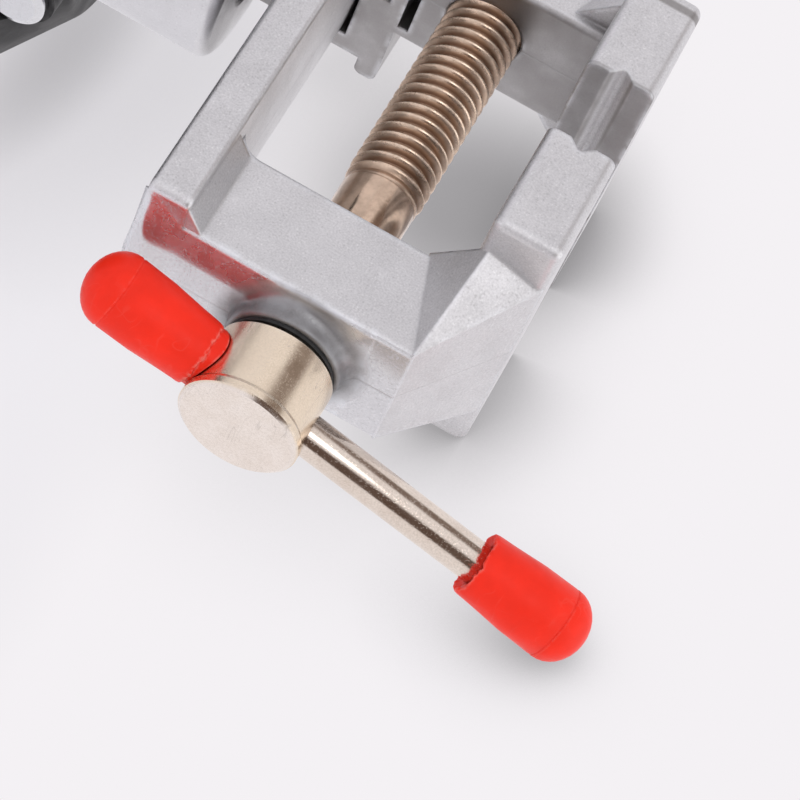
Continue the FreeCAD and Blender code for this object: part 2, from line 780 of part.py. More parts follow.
def base_shell():
    """Moulded foot: conical shell with a top plate, a skirt, and two hubs for the cam shaft."""
    outer = turned(
        "shell_outer",
        (
            (0, "skirt_low"),
            ("foot_dia / 2", "skirt_low"),
            ("foot_dia / 2", "cone_low"),
            ("cone_top_dia / 2", "socket_low"),
            (0, "socket_low"),
        ),
    )
    rims = value("socket_low"), value("cone_low")

    def on_rim(edge):
        return len(edge.Vertexes) == 1 and min(abs(middle(edge).z - rim) for rim in rims) < 0.1

    rounded(outer, 2.4, on_rim)
    inner = turned(
        "shell_inner",
        (
            (0, "skirt_low - 1"),
            ("foot_dia / 2 - wall_thick", "skirt_low - 1"),
            ("foot_dia / 2 - wall_thick", "cone_low - 1.3"),
            ("cone_top_dia / 2 - 1.5", "socket_low - plate_thick"),
            (0, "socket_low - plate_thick"),
        ),
    )
    at = (0, 0, "shaft_z")
    front_fill = cylinder("front_fill", "hub_dia + 2", -41, -12, at, "Y")
    rear_fill = cylinder("rear_fill", "hub_dia + 2", 12, "rear_end", at, "Y")
    hollow = cut("shell_hollow", inner, front_fill, rear_fill)
    hubs = cylinder("shell_hubs", "hub_dia", "front_end", "rear_end", at, "Y")
    shaft_bore = cylinder("shaft_bore", "shaft_dia + 0.6", "front_end - 20", "rear_end + 20", at, "Y")
    front_bush = cylinder("front_bush_bore", "bush_dia", "front_end - 1", "front_end + bush_long", at, "Y")
    rear_bush = cylinder("rear_bush_bore", "bush_dia", "rear_end - bush_long", "rear_end + 1", at, "Y")
    pocket = cylinder("cap_pocket", "shaft_cap_dia + 0.8", "front_end - 20", "front_end", at, "Y")
    plate_hole = cylinder("plate_hole", "plate_hole", "socket_low - 5", "spigot_high + 1")

    def screw_hole(name, spot):
        return cylinder(name, "housing_screw_dia + 0.3", "socket_low - 5", "socket_low + 1", (*spot, 0))

    holes = around("plate_screw_hole", screw_hole)
    spigot = cylinder("shell_spigot", "socket_bore - 0.2", "socket_low - 1", "spigot_high")
    solid = fuse("shell_solid", outer, hubs, spigot)
    return cut("base_shell", solid, hollow, shaft_bore, front_bush, rear_bush, pocket, plate_hole, *holes)


def suction_cup():
    """Rubber cup under the foot: flat rim, raised middle round the stud's plate, and a release tab."""
    rim = "foot_dia / 2 - 1"
    outline = (
        (0, 3.5),
        (20, 3.5),
        (f"{rim} - 7", 0),
        (rim, 0),
        (rim, "skirt_low"),
        (f"{rim} - 5", "skirt_low"),
        (20, "cup_top"),
        ("stud_plate_dia / 2 + 2.5", "cup_top + 2"),
        ("stud_plate_dia / 2 + 0.05", "cup_top + 2"),
        ("stud_plate_dia / 2 + 0.05", "cup_top"),
        (0, "cup_top"),
    )
    tab = box("release_tab", (-7, 7), (f"{rim} - 2", "foot_dia / 2 + 7"), (0.5, 2.6))
    return fuse("suction_cup", turned("cup_disc", outline), tab)


def cup_stud():
    """Plate and stud that draw the middle of the cup up."""
    plate = cylinder("stud_plate", "stud_plate_dia", "cup_top", "cup_top + 2")
    rod = cylinder("stud_rod", "stud_dia", "cup_top + 2", "yoke_low + 3")
    return fuse("cup_stud", plate, rod)


def stud_nut():
    """Lock nut under the yoke."""
    nut = doc.addObject("Part::Prism", "stud_nut_hex")
    nut.Polygon = 6
    bind(nut, Circumradius=5.8, Height=3)
    place(nut, (0, 0, "yoke_low - 3"))
    return cut("stud_nut", nut, cylinder("stud_nut_hole", "stud_dia", "yoke_low - 4", "yoke_low + 1"))


def cam_yoke():
    """Block on the stud whose window rides on the cam."""
    depth = ("-yoke_thick / 2", "yoke_thick / 2")
    block = box("yoke_block", across("yoke_half"), depth, ("yoke_low", "yoke_high"))
    gap = ("-yoke_thick / 2 - 1", "yoke_thick / 2 + 1")
    window = box("yoke_window", across("window_half"), gap, ("window_low", "window_high"))
    hole = cylinder("yoke_thread", "stud_dia", "yoke_low - 1", "yoke_low + 3")
    return cut("cam_yoke", block, window, hole)


def cam_shaft():
    """Shaft through the foot, from the bright cap in front to the lever behind."""
    at = (0, 0, "shaft_z")
    rod = cylinder("cam_shaft_rod", "shaft_dia", "front_end + 0.3", "rear_end + lever_thick", at, "Y")
    rod.Label = "cam_shaft"
    return rod


def eccentric_cam():
    """Eccentric on the middle of the shaft, its high side up while the foot holds."""
    middle_at = (0, 0, "shaft_z + cam_offset")
    disc = cylinder("cam_disc", "cam_dia", "-cam_wide / 2", "cam_wide / 2", middle_at, "Y")
    hole = cylinder("cam_hole", "shaft_dia", "-cam_wide", "cam_wide", (0, 0, "shaft_z"), "Y")
    return cut("eccentric_cam", disc, hole)


def shaft_cap():
    """Bright domed cap on the shaft's front end."""
    at = (0, 0, "shaft_z")
    disc = cylinder("cap_disc", "shaft_cap_dia", "front_end - 1.3", "front_end - 0.1", at, "Y")
    brim, crown = "shaft_cap_dia", "shaft_cap_dia - 2.4"
    dome = cone("cap_dome_disc", crown, brim, "front_end - 1.9", "front_end - 1.3", at, "Y")
    stem = cylinder("cap_stem", "shaft_dia", "front_end - 0.2", "front_end + 0.3", at, "Y")
    return fuse("shaft_cap", disc, dome, stem)


def bush(name, low, high):
    """Bush for the shaft in one of the foot's hubs."""
    at = (0, 0, "shaft_z")
    blank = cylinder(name + "_blank", "bush_dia", low, high, at, "Y")
    hole = cylinder(name + "_hole", "shaft_dia + 0.1", f"{low} - 1", f"{high} + 1", at, "Y")
    return cut(name, blank, hole)


def turned_lever(obj):
    """Drop a lever piece to its rest angle about the shaft."""
    angle = value("lever_rest")
    obj.Placement = FreeCAD.Placement(V(0, 0, value("shaft_z")), FreeCAD.Rotation(V(0, 1, 0), -angle))
    return obj


def suction_lever():
    """Lever behind the foot: hub on the shaft and a tapered arm, flat on both sides."""
    body = doc.addObject("PartDesign::Body", "suction_lever_blank")
    arm = sketch(
        body,
        "XZ_Plane",
        (
            (0, -5.5),
            (0, 5.5),
            ("-lever_long + grip_long - 2", 4),
            ("-lever_long + grip_long - 2", -4),
        ),
    )
    pad = body.newObject("PartDesign::Pad", "arm")
    pad.Profile = arm
    bind(pad, Length="lever_thick")
    rounded(body, 1.2, lambda edge: abs(middle(edge).z) > 3 and not along("Y")(edge))
    body.Placement = FreeCAD.Placement(V(0, value("rear_end + lever_thick + 0.2"), 0), FreeCAD.Rotation())
    low, high = "rear_end + 0.2", "rear_end + lever_thick + 0.2"
    hub = cylinder("lever_hub", 14, low, high, (0, 0, 0), "Y")
    middle_y = "rear_end + 0.2 + lever_thick / 2"
    tang = cylinder("lever_tang", 5, "-lever_long + 3", "-lever_long + grip_long", (0, middle_y, 0), "X")
    hole = cylinder("lever_hole", "shaft_dia", f"{low} - 1", "rear_end + lever_thick", (0, 0, 0), "Y")
    screw = cylinder("lever_screw_hole", 3, "rear_end", f"{high} + 1", (0, 0, 0), "Y")
    return turned_lever(cut("suction_lever", fuse("lever_blank", body, hub, tang), hole, screw))


def lever_grip():
    """Soft sleeve pushed over the lever's tang."""
    middle_y = "rear_end + 0.2 + lever_thick / 2"
    at = (0, middle_y, 0)
    tip = "-lever_long"
    sleeve = cylinder("grip_sleeve", "grip_dia", f"{tip} + 3", f"{tip} + grip_long - 2", at, "X")
    end = cone("grip_end", "grip_dia - 4", "grip_dia", tip, f"{tip} + 3", at, "X")
    hole = cylinder("grip_hole", 5, f"{tip} + 3", f"{tip} + grip_long", at, "X")
    return turned_lever(cut("lever_grip", fuse("grip_blank", sleeve, end), hole))


def lever_screw():
    """Screw that keeps the lever on the shaft."""
    at = (0, 0, "shaft_z")
    high = "rear_end + lever_thick + 0.2"
    head = cylinder("lever_screw_head", 6.5, high, f"{high} + 2", at, "Y")
    shank = cylinder("lever_screw_shank", 3, "rear_end + lever_thick", high, at, "Y")
    slot = ("shaft_z - 0.5", "shaft_z + 0.5")
    key = box("lever_screw_slot", (-4, 4), (f"{high} + 1.2", f"{high} + 3"), slot)
    return cut("lever_screw", fuse("lever_screw_blank", head, shank), key)


PIECES = {
    "movable_jaw": movable_jaw(),
    "fixed_jaw_body": fixed_jaw_body(),
    "lead_screw": lead_screw(),
    "screw_head": screw_head(),
    "thrust_washer": thrust_washer(),
    "retaining_pin": retaining_pin(),
    "tommy_bar": tommy_bar(),
    "tommy_cap_upper": tommy_cap("upper_cap", 1, "handle_up"),
    "tommy_cap_lower": tommy_cap("lower_cap", -1, "handle_down"),
    "ball_stem": ball_stem(),
    "stem_screw": stem_screw(),
    "socket_housing": socket_housing(),
    "ball_seat": ball_seat(),
    "seat_plate": seat_plate(),
    "lock_pad": lock_pad(),
    "lock_screw": lock_screw(),
    "lock_knob": lock_knob(),
    "housing_screws": housing_screws(),
    "base_shell": base_shell(),
    "suction_cup": suction_cup(),
    "cup_stud": cup_stud(),
    "stud_nut": stud_nut(),
    "cam_yoke": cam_yoke(),
    "cam_shaft": cam_shaft(),
    "eccentric_cam": eccentric_cam(),
    "shaft_cap": shaft_cap(),
    "front_bush": bush("front_bush", "front_end", "front_end + bush_long"),
    "rear_bush": bush("rear_bush", "rear_end - bush_long", "rear_end"),
    "suction_lever": suction_lever(),
    "lever_grip": lever_grip(),
    "lever_screw": lever_screw(),
}


def check_and_write():
    """Recompute, stop at any failed object or bad shape, then write each sub-part's file."""
    doc.recompute()
    failed = [obj.Name for obj in doc.Objects if {"Invalid", "Error"} & set(obj.State)]
    if failed:
        raise RuntimeError(f"objects that did not compute: {failed}")
    for label, piece in PIECES.items():
        piece.Label = label
        shape = piece.Shape
        if shape.isNull() or not shape.isValid() or not shape.Solids:
            raise RuntimeError(f"{label} has no valid solid")
    for label, piece in PIECES.items():
        piece.Shape.exportStep(f"parts/{label}.step")
        solids = len(piece.Shape.Solids)
        print(f"{label}: {solids} solid(s), {piece.Shape.Volume:.0f} mm3")


check_and_write()
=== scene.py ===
"""Looks of a small bench vise on a ball joint and a suction foot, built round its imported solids.

Everything is in metres in the part's own frame: +Z up, +Y along the lead screw from its handle to
the fixed jaw, +X across the jaws, and the origin in the middle of the foot's underside.
"""

import logging
import math
from collections.abc import Iterable, Sequence
from dataclasses import dataclass
from enum import Enum

import bmesh
import bpy
from mathutils import Matrix, Vector, noise


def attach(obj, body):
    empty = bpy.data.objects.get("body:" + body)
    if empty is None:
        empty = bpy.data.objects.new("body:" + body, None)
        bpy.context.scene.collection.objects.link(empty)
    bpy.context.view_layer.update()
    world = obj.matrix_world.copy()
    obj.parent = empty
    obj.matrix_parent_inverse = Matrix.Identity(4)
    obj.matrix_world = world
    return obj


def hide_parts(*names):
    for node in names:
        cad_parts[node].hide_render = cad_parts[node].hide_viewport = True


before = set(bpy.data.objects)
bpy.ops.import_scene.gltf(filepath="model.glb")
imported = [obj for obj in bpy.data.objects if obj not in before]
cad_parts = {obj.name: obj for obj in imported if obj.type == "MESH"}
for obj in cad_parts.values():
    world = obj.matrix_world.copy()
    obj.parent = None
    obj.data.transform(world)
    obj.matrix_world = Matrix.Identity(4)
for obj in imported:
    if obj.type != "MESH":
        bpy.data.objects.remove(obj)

logging.basicConfig(level=logging.INFO, format="%(name)s: %(message)s")
log = logging.getLogger("ball_vise")

MM = 0.001
SCREW_Z = 79.7 * MM
BACKDROP_COLOUR = (0.905, 0.88, 0.905)
BLACK, WHITE = (0.0, 0.0, 0.0, 1.0), (1.0, 1.0, 1.0, 1.0)
RECESS_REACH = 13 * MM
FLOAT, VECTOR = "NodeSocketFloat", "NodeSocketVector"

Point = tuple[float, float, float]
Colour = tuple[float, float, float]
Profile = Sequence[tuple[float, float]]


class BarEnd(Enum):
    """End of the tommy bar, with the sign of its distance from the screw's axis."""

    UPPER = 1
    LOWER = -1


def on_screw() -> Matrix:
    """Matrix that lays a piece's own Z on the screw's axis, towards the jaws."""
    turn = Vector((0, 0, 1)).rotation_difference(Vector((0, 1, 0)))
    return Matrix.Translation((0, 0, SCREW_Z)) @ turn.to_matrix().to_4x4()


# --------------------------------------------------------------------------------------------------
# Node trees


def join(tree: bpy.types.NodeTree, node: bpy.types.Node, sockets: dict) -> None:
    """Set or link several inputs of a node.

    Args:
        tree: The tree that the node is in.
        node: The node.
        sockets: Plain values or output sockets by the input's name or number.
    """
    for key, value in sockets.items():
        if isinstance(value, bpy.types.NodeSocket):
            tree.links.new(value, node.inputs[key])
        else:
            node.inputs[key].default_value = value


class Tree:
    """Builder for one node tree, whose sockets take plain values or other nodes' outputs."""

    def __init__(self, tree: bpy.types.NodeTree) -> None:
        """Keep the tree that nodes are added to."""
        self.tree = tree

    def node(self, kind: str, sockets: dict | None = None, **settings: object) -> bpy.types.Node:
        """Add a node.

        Args:
            kind: Node type without its ShaderNode prefix.
            sockets: Values or output sockets by the input's name or number.
            settings: Properties of the node itself.

        Returns:
            The new node.
        """
        made = self.tree.nodes.new("ShaderNode" + kind)
        for name, value in settings.items():
            setattr(made, name, value)
        join(self.tree, made, sockets or {})
        return made

    def math(self, operation: str, *values: object, clamp: bool = False) -> bpy.types.NodeSocket:
        """Output of a Math node over one to three values."""
        made = self.node("Math", dict(enumerate(values)), operation=operation, use_clamp=clamp)
        return made.outputs[0]

    def product(self, first: object, *others: object) -> bpy.types.NodeSocket:
        """Values multiplied together.

        Args:
            first: The first value.
            others: The rest of them.

        Returns:
            Their product.
        """
        for other in others:
            first = self.math("MULTIPLY", first, other)
        return first

    def split(self, vector: object) -> list[bpy.types.NodeSocket]:
        """X, Y and Z of a vector."""
        return list(self.node("SeparateXYZ", {0: vector}).outputs)

    def span(self, value: object, low: float, high: float) -> bpy.types.NodeSocket:
        """0 at low and 1 at high, clamped and with soft ends."""
        sockets = {"Value": value, "From Min": low, "From Max": high}
        return self.node("MapRange", sockets, interpolation_type="SMOOTHSTEP").outputs["Result"]

    def noise(
        self, vector: object, scale: object, detail: float = 2.0, rough: float = 0.5
    ) -> bpy.types.NodeSocket:
        """Noise at a scale per metre."""
        sockets = {"Vector": vector, "Scale": scale, "Detail": detail, "Roughness": rough}
        return self.node("TexNoise", sockets).outputs[0]

    def mix(self, factor: object, a: object, b: object) -> bpy.types.NodeSocket:
        """Colour between a and b."""
        return self.node("Mix", {0: factor, 6: a, 7: b}, data_type="RGBA").outputs[2]

    def over(
        self, base: object, mask: object, amount: object, colour: tuple
    ) -> bpy.types.NodeSocket:
        """Base with a colour laid over it by an amount where a mask is."""
        return self.mix(self.product(mask, amount), base, colour)

    def beside(
        self, value: object, middle: float, wide: float, sharp: float
    ) -> bpy.types.NodeSocket:
        """1 within a sharp distance of a middle value, and 0 past a wide one."""
        apart = self.math("ABSOLUTE", self.math("SUBTRACT", value, middle))
        return self.span(apart, wide, sharp)

    def lowered(self, value: object, depth: float) -> bpy.types.NodeSocket:
        """Number from 1 - depth where a value is 0 up to 1 where it is 1."""
        return self.math("MULTIPLY_ADD", value, depth, 1 - depth)

    def blend(self, factor: object, a: object, b: object) -> bpy.types.NodeSocket:
        """Number between a and b."""
        return self.node("Mix", {0: factor, 2: a, 3: b}, data_type="FLOAT").outputs[0]

    def relief(
        self, height: object, depth: float, strength: object = 1.0, corner: float = 0.0
    ) -> bpy.types.NodeSocket:
        """Normal of a height pattern.

        Args:
            height: The pattern, from 0 to 1.
            depth: How deep it is at 1, in metres.
            strength: How much of it shows.
            corner: Radius that sharp corners are shaded with, in metres.

        Returns:
            The normal.
        """
        sockets = {"Height": height, "Distance": depth, "Strength": strength}
        if corner:
            sockets["Normal"] = self.node("Bevel", {"Radius": corner}, samples=6).outputs[0]
        return self.node("Bump", sockets).outputs[0]


def rgba(colour: Colour) -> tuple:
    """Colour with full alpha."""
    return (*colour, 1.0)


def shade(colour: Colour, factor: float) -> tuple:
    """Colour made darker or lighter by a factor, with full alpha."""
    return rgba(tuple(min(1.0, channel * factor) for channel in colour))


class Effect:
    """Shader node group that several finishes place with their own values."""

    def __init__(self, name: str, inputs: dict[str, tuple], outputs: Iterable[str]) -> None:
        """Make the group's sockets.

        Args:
            name: Name of the group.
            inputs: Socket type and default value by input name.
            outputs: Names of the numbers that it puts out.
        """
        self.group = bpy.data.node_groups.new(name, "ShaderNodeTree")
        for label, (kind, default) in inputs.items():
            socket = self.group.interface.new_socket(label, in_out="INPUT", socket_type=kind)
            if default is not None:
                socket.default_value = default
        for label in outputs:
            self.group.interface.new_socket(label, in_out="OUTPUT", socket_type=FLOAT)
        self.tree = Tree(self.group)
        self.source = self.group.nodes.new("NodeGroupInput").outputs
        self.sink = self.group.nodes.new("NodeGroupOutput")

    def give(self, **outputs: bpy.types.NodeSocket) -> None:
        """Join the numbers that the group puts out."""
        join(self.group, self.sink, outputs)

    def use(self, tree: Tree, sockets: dict) -> dict[str, bpy.types.NodeSocket]:
        """Place the group in a material's tree.

        Args:
            tree: The material's tree.
            sockets: Values or output sockets by input name.

        Returns:
            The placed group's outputs by name.
        """
        made = tree.tree.nodes.new("ShaderNodeGroup")
        made.node_tree = self.group
        join(tree.tree, made, sockets)
        return {socket.name: socket for socket in made.outputs}


class Effects:
    """The surface effects that this object's finishes share."""

    def __init__(self) -> None:
        """Build each group once."""
        self.grain = self._grain()
        self.scratches = self._scratches()
        self.worn_edge = self._worn_edge()
        self.smudges = self._smudges()

    @staticmethod
    def _grain() -> Effect:
        """Fine pits and specks over a slow mottle, as bare castings and moulded plastic have.

        Returns:
            The group.
        """
        effect = Effect(
            "cast_grain",
            {"Vector": (VECTOR, None), "Fine": (FLOAT, 3200.0), "Coarse": (FLOAT, 260.0)},
            ("Speckle", "Glint", "Pit", "Mottle", "Height"),
        )
        tree, source = effect.tree, effect.source
        fine = tree.noise(source["Vector"], source["Fine"], 3.0)
        slow = tree.noise(source["Vector"], source["Coarse"], 4.0, 0.6)
        speckle = tree.span(fine, 0.3, 0.7)
        mottle = tree.span(slow, 0.3, 0.7)
        pit = tree.span(fine, 0.36, 0.27)
        height = tree.math("MULTIPLY_ADD", mottle, 0.35, tree.span(fine, 0.28, 0.42))
        glint = tree.span(fine, 0.64, 0.74)
        effect.give(Speckle=speckle, Glint=glint, Pit=pit, Mottle=mottle, Height=height)
        return effect

    @staticmethod
    def _scratches() -> Effect:
        """Short hairline scratches in two directions.

        Returns:
            The group.
        """
        effect = Effect(
            "hairline_scratches",
            {"Vector": (VECTOR, None), "Scale": (FLOAT, 500.0), "Amount": (FLOAT, 0.5)},
            ("Mask",),
        )
        tree, source = effect.tree, effect.source
        masks = []
        ways = (((0.4, 0.9, 0.2), (0.09, 1.0, 1.0)), ((1.3, 0.2, 0.8), (1.0, 0.07, 1.0)))
        for turn, stretch in ways:
            sockets = {"Vector": source["Vector"], "Rotation": turn, "Scale": stretch}
            mapped = tree.node("Mapping", sockets)
            lines = tree.noise(mapped.outputs[0], source["Scale"], 1.0)
            ridge = tree.math("ABSOLUTE", tree.math("SUBTRACT", lines, 0.5))
            masks.append(tree.span(ridge, 0.012, 0.0))
        some = tree.span(tree.noise(source["Vector"], 170.0, 3.0), 0.52, 0.68)
        both = tree.math("MAXIMUM", *masks)
        effect.give(Mask=tree.product(both, some, source["Amount"]))
        return effect

    @staticmethod
    def _worn_edge() -> Effect:
        """Masks of outer edges that handling has rubbed, and of hollows and deep recesses, where the
        finishes paint shade.

        Returns:
            The group.
        """
        effect = Effect(
            "worn_edge",
            {"Vector": (VECTOR, None), "Reach": (FLOAT, 0.0008), "Break": (FLOAT, 420.0)},
            ("Mask", "Hollow", "Cavity"),
        )
        tree, source = effect.tree, effect.source
        inner = tree.node("AmbientOcclusion", {"Distance": source["Reach"]}, samples=4, inside=True)
        outer = tree.node("AmbientOcclusion", {"Distance": source["Reach"]}, samples=4)
        deep = tree.node("AmbientOcclusion", {"Distance": RECESS_REACH}, samples=6)
        edge = tree.span(inner.outputs["AO"], 0.92, 0.55)
        broken = tree.span(tree.noise(source["Vector"], source["Break"], 3.0), 0.34, 0.62)
        hollow = tree.span(outer.outputs["AO"], 0.95, 0.5)
        recess_shading = tree.span(deep.outputs["AO"], 0.72, 0.18)
        effect.give(Mask=tree.product(edge, broken), Hollow=hollow, Cavity=recess_shading)
        return effect

    @staticmethod
    def _smudges() -> Effect:
        """Slow patches that handling leaves in a surface's gloss.

        Returns:
            The group.
        """
        effect = Effect(
            "smudges",
            {
                "Vector": (VECTOR, None),
                "Scale": (FLOAT, 90.0),
                "Low": (FLOAT, 0.3),
                "High": (FLOAT, 0.5),
            },
            ("Roughness",),
        )
        tree, source = effect.tree, effect.source
        patch = tree.span(tree.noise(source["Vector"], source["Scale"], 5.0, 0.62), 0.3, 0.7)
        effect.give(Roughness=tree.blend(patch, source["Low"], source["High"]))
        return effect


# --------------------------------------------------------------------------------------------------
# Finishes


@dataclass(frozen=True)
class Coat:
    """What a finish paints with: its tree and shader, where a point is, and the effects."""

    tree: Tree
    surface: bpy.types.Node
    where: bpy.types.NodeSocket
    effects: Effects

    def cover(self, **sockets: object) -> None:
        """Set or link the shader's inputs, underscores standing for spaces in their names."""
        named = {key.replace("_", " "): value for key, value in sockets.items()}
        join(self.tree.tree, self.surface, named)

    def from_screw(self) -> bpy.types.NodeSocket:
        """Distance from the screw's axis.

        Returns:
            The distance in metres.
        """
        tree = self.tree
        x, _, z = tree.split(self.where)
        up = tree.math("SUBTRACT", z, SCREW_Z)
        squares = (tree.math("POWER", side, 2.0) for side in (x, up))
        return tree.math("SQRT", tree.math("ADD", *squares))

    def grain(self, fine: float, coarse: float) -> dict[str, bpy.types.NodeSocket]:
        """Cast grain at two scales per metre."""
        sockets = {"Vector": self.where, "Fine": fine, "Coarse": coarse}
        return self.effects.grain.use(self.tree, sockets)

    def wear(self, reach: float, broken: float) -> dict[str, bpy.types.NodeSocket]:
        """Worn edges that reach so many metres, broken up at a scale per metre."""
        sockets = {"Vector": self.where, "Reach": reach, "Break": broken}
        return self.effects.worn_edge.use(self.tree, sockets)

    def hair(self, scale: float, amount: float) -> bpy.types.NodeSocket:
        """Mask of hairline scratches."""
        sockets = {"Vector": self.where, "Scale": scale, "Amount": amount}
        return self.effects.scratches.use(self.tree, sockets)["Mask"]

    def gloss(self, scale: float, rough: tuple[float, float]) -> bpy.types.NodeSocket:
        """Roughness in smudges between two values."""
        sockets = {"Vector": self.where, "Scale": scale, "Low": rough[0], "High": rough[1]}
        return self.effects.smudges.use(self.tree, sockets)["Roughness"]


@dataclass(frozen=True)
class Finish:
    """A surface finish: what its material is called, and its base colour.

    Every kind of finish adds its own numbers, and builds one material that its pieces share.
    """

    name: str
    colour: Colour

    def material(self, effects: Effects) -> bpy.types.Material:
        """Material of this finish, made at its first use.

        Args:
            effects: The shared node groups.

        Returns:
            The material.
        """
        found = bpy.data.materials.get(self.name)
        if found is not None:
            return found
        made = bpy.data.materials.new(self.name)
        made.use_nodes = True
        made.node_tree.nodes.clear()
        tree = Tree(made.node_tree)
        surface = tree.node("BsdfPrincipled", {"Base Color": rgba(self.colour)})
        self.paint(Coat(tree, surface, tree.node("TexCoord").outputs["Object"], effects))
        tree.node("OutputMaterial", {"Surface": surface.outputs[0]})
        return made

    def paint(self, coat: Coat) -> None:
        """Join the finish's own pattern to its shader."""
        raise NotImplementedError


@dataclass(frozen=True)
class CastAlloy(Finish):
    """Bare die-cast alloy: satin, finely speckled, mottled, rubbed bright along its edges, and with
    painted shade in its hollows and deep recesses.

    Where polished_y is given, everything before it is smooth, with painted shade round the screw.
    """

    rough: tuple[float, float] = (0.42, 0.54)
    speckle: float = 0.14
    line: bool = True
    # Strength of the painted shade that darkens deep recesses.
    recess_shading: float = 0.62
    corner: float = 0.7 * MM
    # Near-black colour of the painted shade in deep recesses.
    recess_shade: Colour = (0.16, 0.145, 0.14)
    rubbed: Colour = (0.84, 0.86, 0.9)
    polished_y: float | None = None
    polish: float = 0.24
    polish_tint: Colour = (0.8, 0.8, 0.86)
    # Colour and reach of the painted shade on the boss and flare round the screw's head.
    boss_shade: Colour = (0.13, 0.125, 0.125)
    boss_shade_reach: tuple[float, float] = (12.8 * MM, 8.8 * MM)

    def speckled(self, coat: Coat, grain: dict[str, bpy.types.NodeSocket]) -> bpy.types.NodeSocket:
        """Fine speckle over a slow cloud, with pits and glints.

        Args:
            coat: What it paints with.
            grain: The cast grain.

        Returns:
            The colour.
        """
        tree, colour = coat.tree, self.colour
        dark, light = shade(colour, 1 - self.speckle), shade(colour, 1 + self.speckle)
        base = tree.mix(grain["Speckle"], dark, light)
        cloud = tree.mix(grain["Mottle"], shade(colour, 0.93), shade(colour, 1.05))
        base = tree.mix(0.5, base, cloud)
        base = tree.over(base, grain["Pit"], 0.3, shade(colour, 0.5))
        return tree.over(base, grain["Glint"], 0.45, shade(colour, 1.45))

    def with_painted_shade(self, coat: Coat, base: bpy.types.NodeSocket) -> bpy.types.NodeSocket:
        """Base colour with painted shade laid over chosen places; on this casting there is none."""
        return base

    def paint(self, coat: Coat) -> None:
        """Speckle under bright edges and painted shade in hollows and recesses, with the mould's
        parting line.

        Args:
            coat: What it paints with.
        """
        tree, colour = coat.tree, self.colour
        x, y, _ = tree.split(coat.where)
        grain, wear = coat.grain(3400.0, 190.0), coat.wear(1.0 * MM, 380.0)
        rough, metal = coat.gloss(110.0, self.rough), 1.0
        # Painted shade: deep recesses, found by occlusion, are darkened towards a near-black colour;
        # the polished front gets less of it.
        scratched, recess_shaded = 0.5, tree.product(wear["Cavity"], self.recess_shading)
        # Painted shade: hollows and creases are darkened towards a dark copy of the alloy's colour.
        base = tree.over(self.speckled(coat, grain), wear["Hollow"], 0.4, shade(colour, 0.4))
        polished = None
        if self.polished_y is not None:
            polished = tree.span(y, self.polished_y + 0.4 * MM, self.polished_y)
            base = tree.over(base, polished, 0.2, rgba(self.polish_tint))
            scratched = tree.blend(polished, 0.5, 0.1)
            recess_shaded = tree.product(recess_shaded, tree.math("MULTIPLY_ADD", polished, -0.8, 1.0))
            metal = tree.math("MULTIPLY_ADD", polished, -0.1, 1.0)
        base = tree.over(base, coat.hair(420.0, 0.5), scratched, shade(colour, 1.35))
        base = self.with_painted_shade(coat, tree.mix(recess_shaded, base, rgba(self.recess_shade)))
        base = tree.over(base, wear["Mask"], 0.6, rgba(self.rubbed))
        height = grain["Height"]
        if self.line:
            seam = tree.beside(x, 0.0, 0.26 * MM, 0.08 * MM)
            height = tree.math("MULTIPLY_ADD", seam, 2.2, height)
            base = tree.over(base, seam, 0.3, shade(colour, 0.66))
        if polished is not None:
            # Painted shade: the boss and flare round the screw's head are darkened, as where the head
            # shuts out the light, and made rougher.
            boss_shaded = tree.product(polished, tree.span(coat.from_screw(), *self.boss_shade_reach))
            base = tree.over(base, boss_shaded, 0.74, rgba(self.boss_shade))
            rough = tree.blend(boss_shaded, tree.blend(polished, rough, self.polish), 0.55)
        rough = tree.blend(tree.product(wear["Mask"], 0.8), rough, 0.3)
        normal = tree.relief(height, 0.03 * MM, 0.55, self.corner)
        coat.cover(Base_Color=base, Roughness=rough, Metallic=metal, Normal=normal)


@dataclass(frozen=True)
class SaddleAlloy(CastAlloy):
    """Bare alloy of the fixed jaw, with painted shade on its saddle, its grip and the wall round the
    screw.
    """

    # Colour and strength of the painted shade on the fixed jaw.
    fixed_jaw_shade: Colour = (0.3, 0.285, 0.28)
    fixed_jaw_shade_strength: float = 0.8
    saddle_top: float = 69 * MM
    screw_wall: float = 5 * MM
    grip: float = -11 * MM
    grip_low: float = 95 * MM

    def with_painted_shade(self, coat: Coat, base: bpy.types.NodeSocket) -> bpy.types.NodeSocket:
        """Painted shade over the places that the screw and the slide bar reach.

        Args:
            coat: What it paints with.
            base: The casting's colour.

        Returns:
            The colour with the painted shade over it.
        """
        tree = coat.tree
        _, y, z = tree.split(coat.where)
        saddle = tree.span(z, self.saddle_top + 2 * MM, self.saddle_top - 2 * MM)
        wall = tree.beside(y, self.screw_wall, 0.9 * MM, 0.4 * MM)
        face = tree.beside(y, self.grip, 0.8 * MM, 0.3 * MM)
        face = tree.product(face, tree.span(z, self.grip_low, self.grip_low + 2 * MM))
        # Painted shade: the saddle under the slide bar, the wall round the screw and the grip face
        # darken, broken up by a slow noise.
        fixed_jaw_shade = tree.math("MAXIMUM", tree.math("MAXIMUM", saddle, wall), face)
        patchy = tree.span(tree.noise(coat.where, 160.0, 3.0), 0.2, 0.6)
        amount = tree.product(fixed_jaw_shade, tree.lowered(patchy, 0.3))
        return tree.over(base, amount, self.fixed_jaw_shade_strength, rgba(self.fixed_jaw_shade))


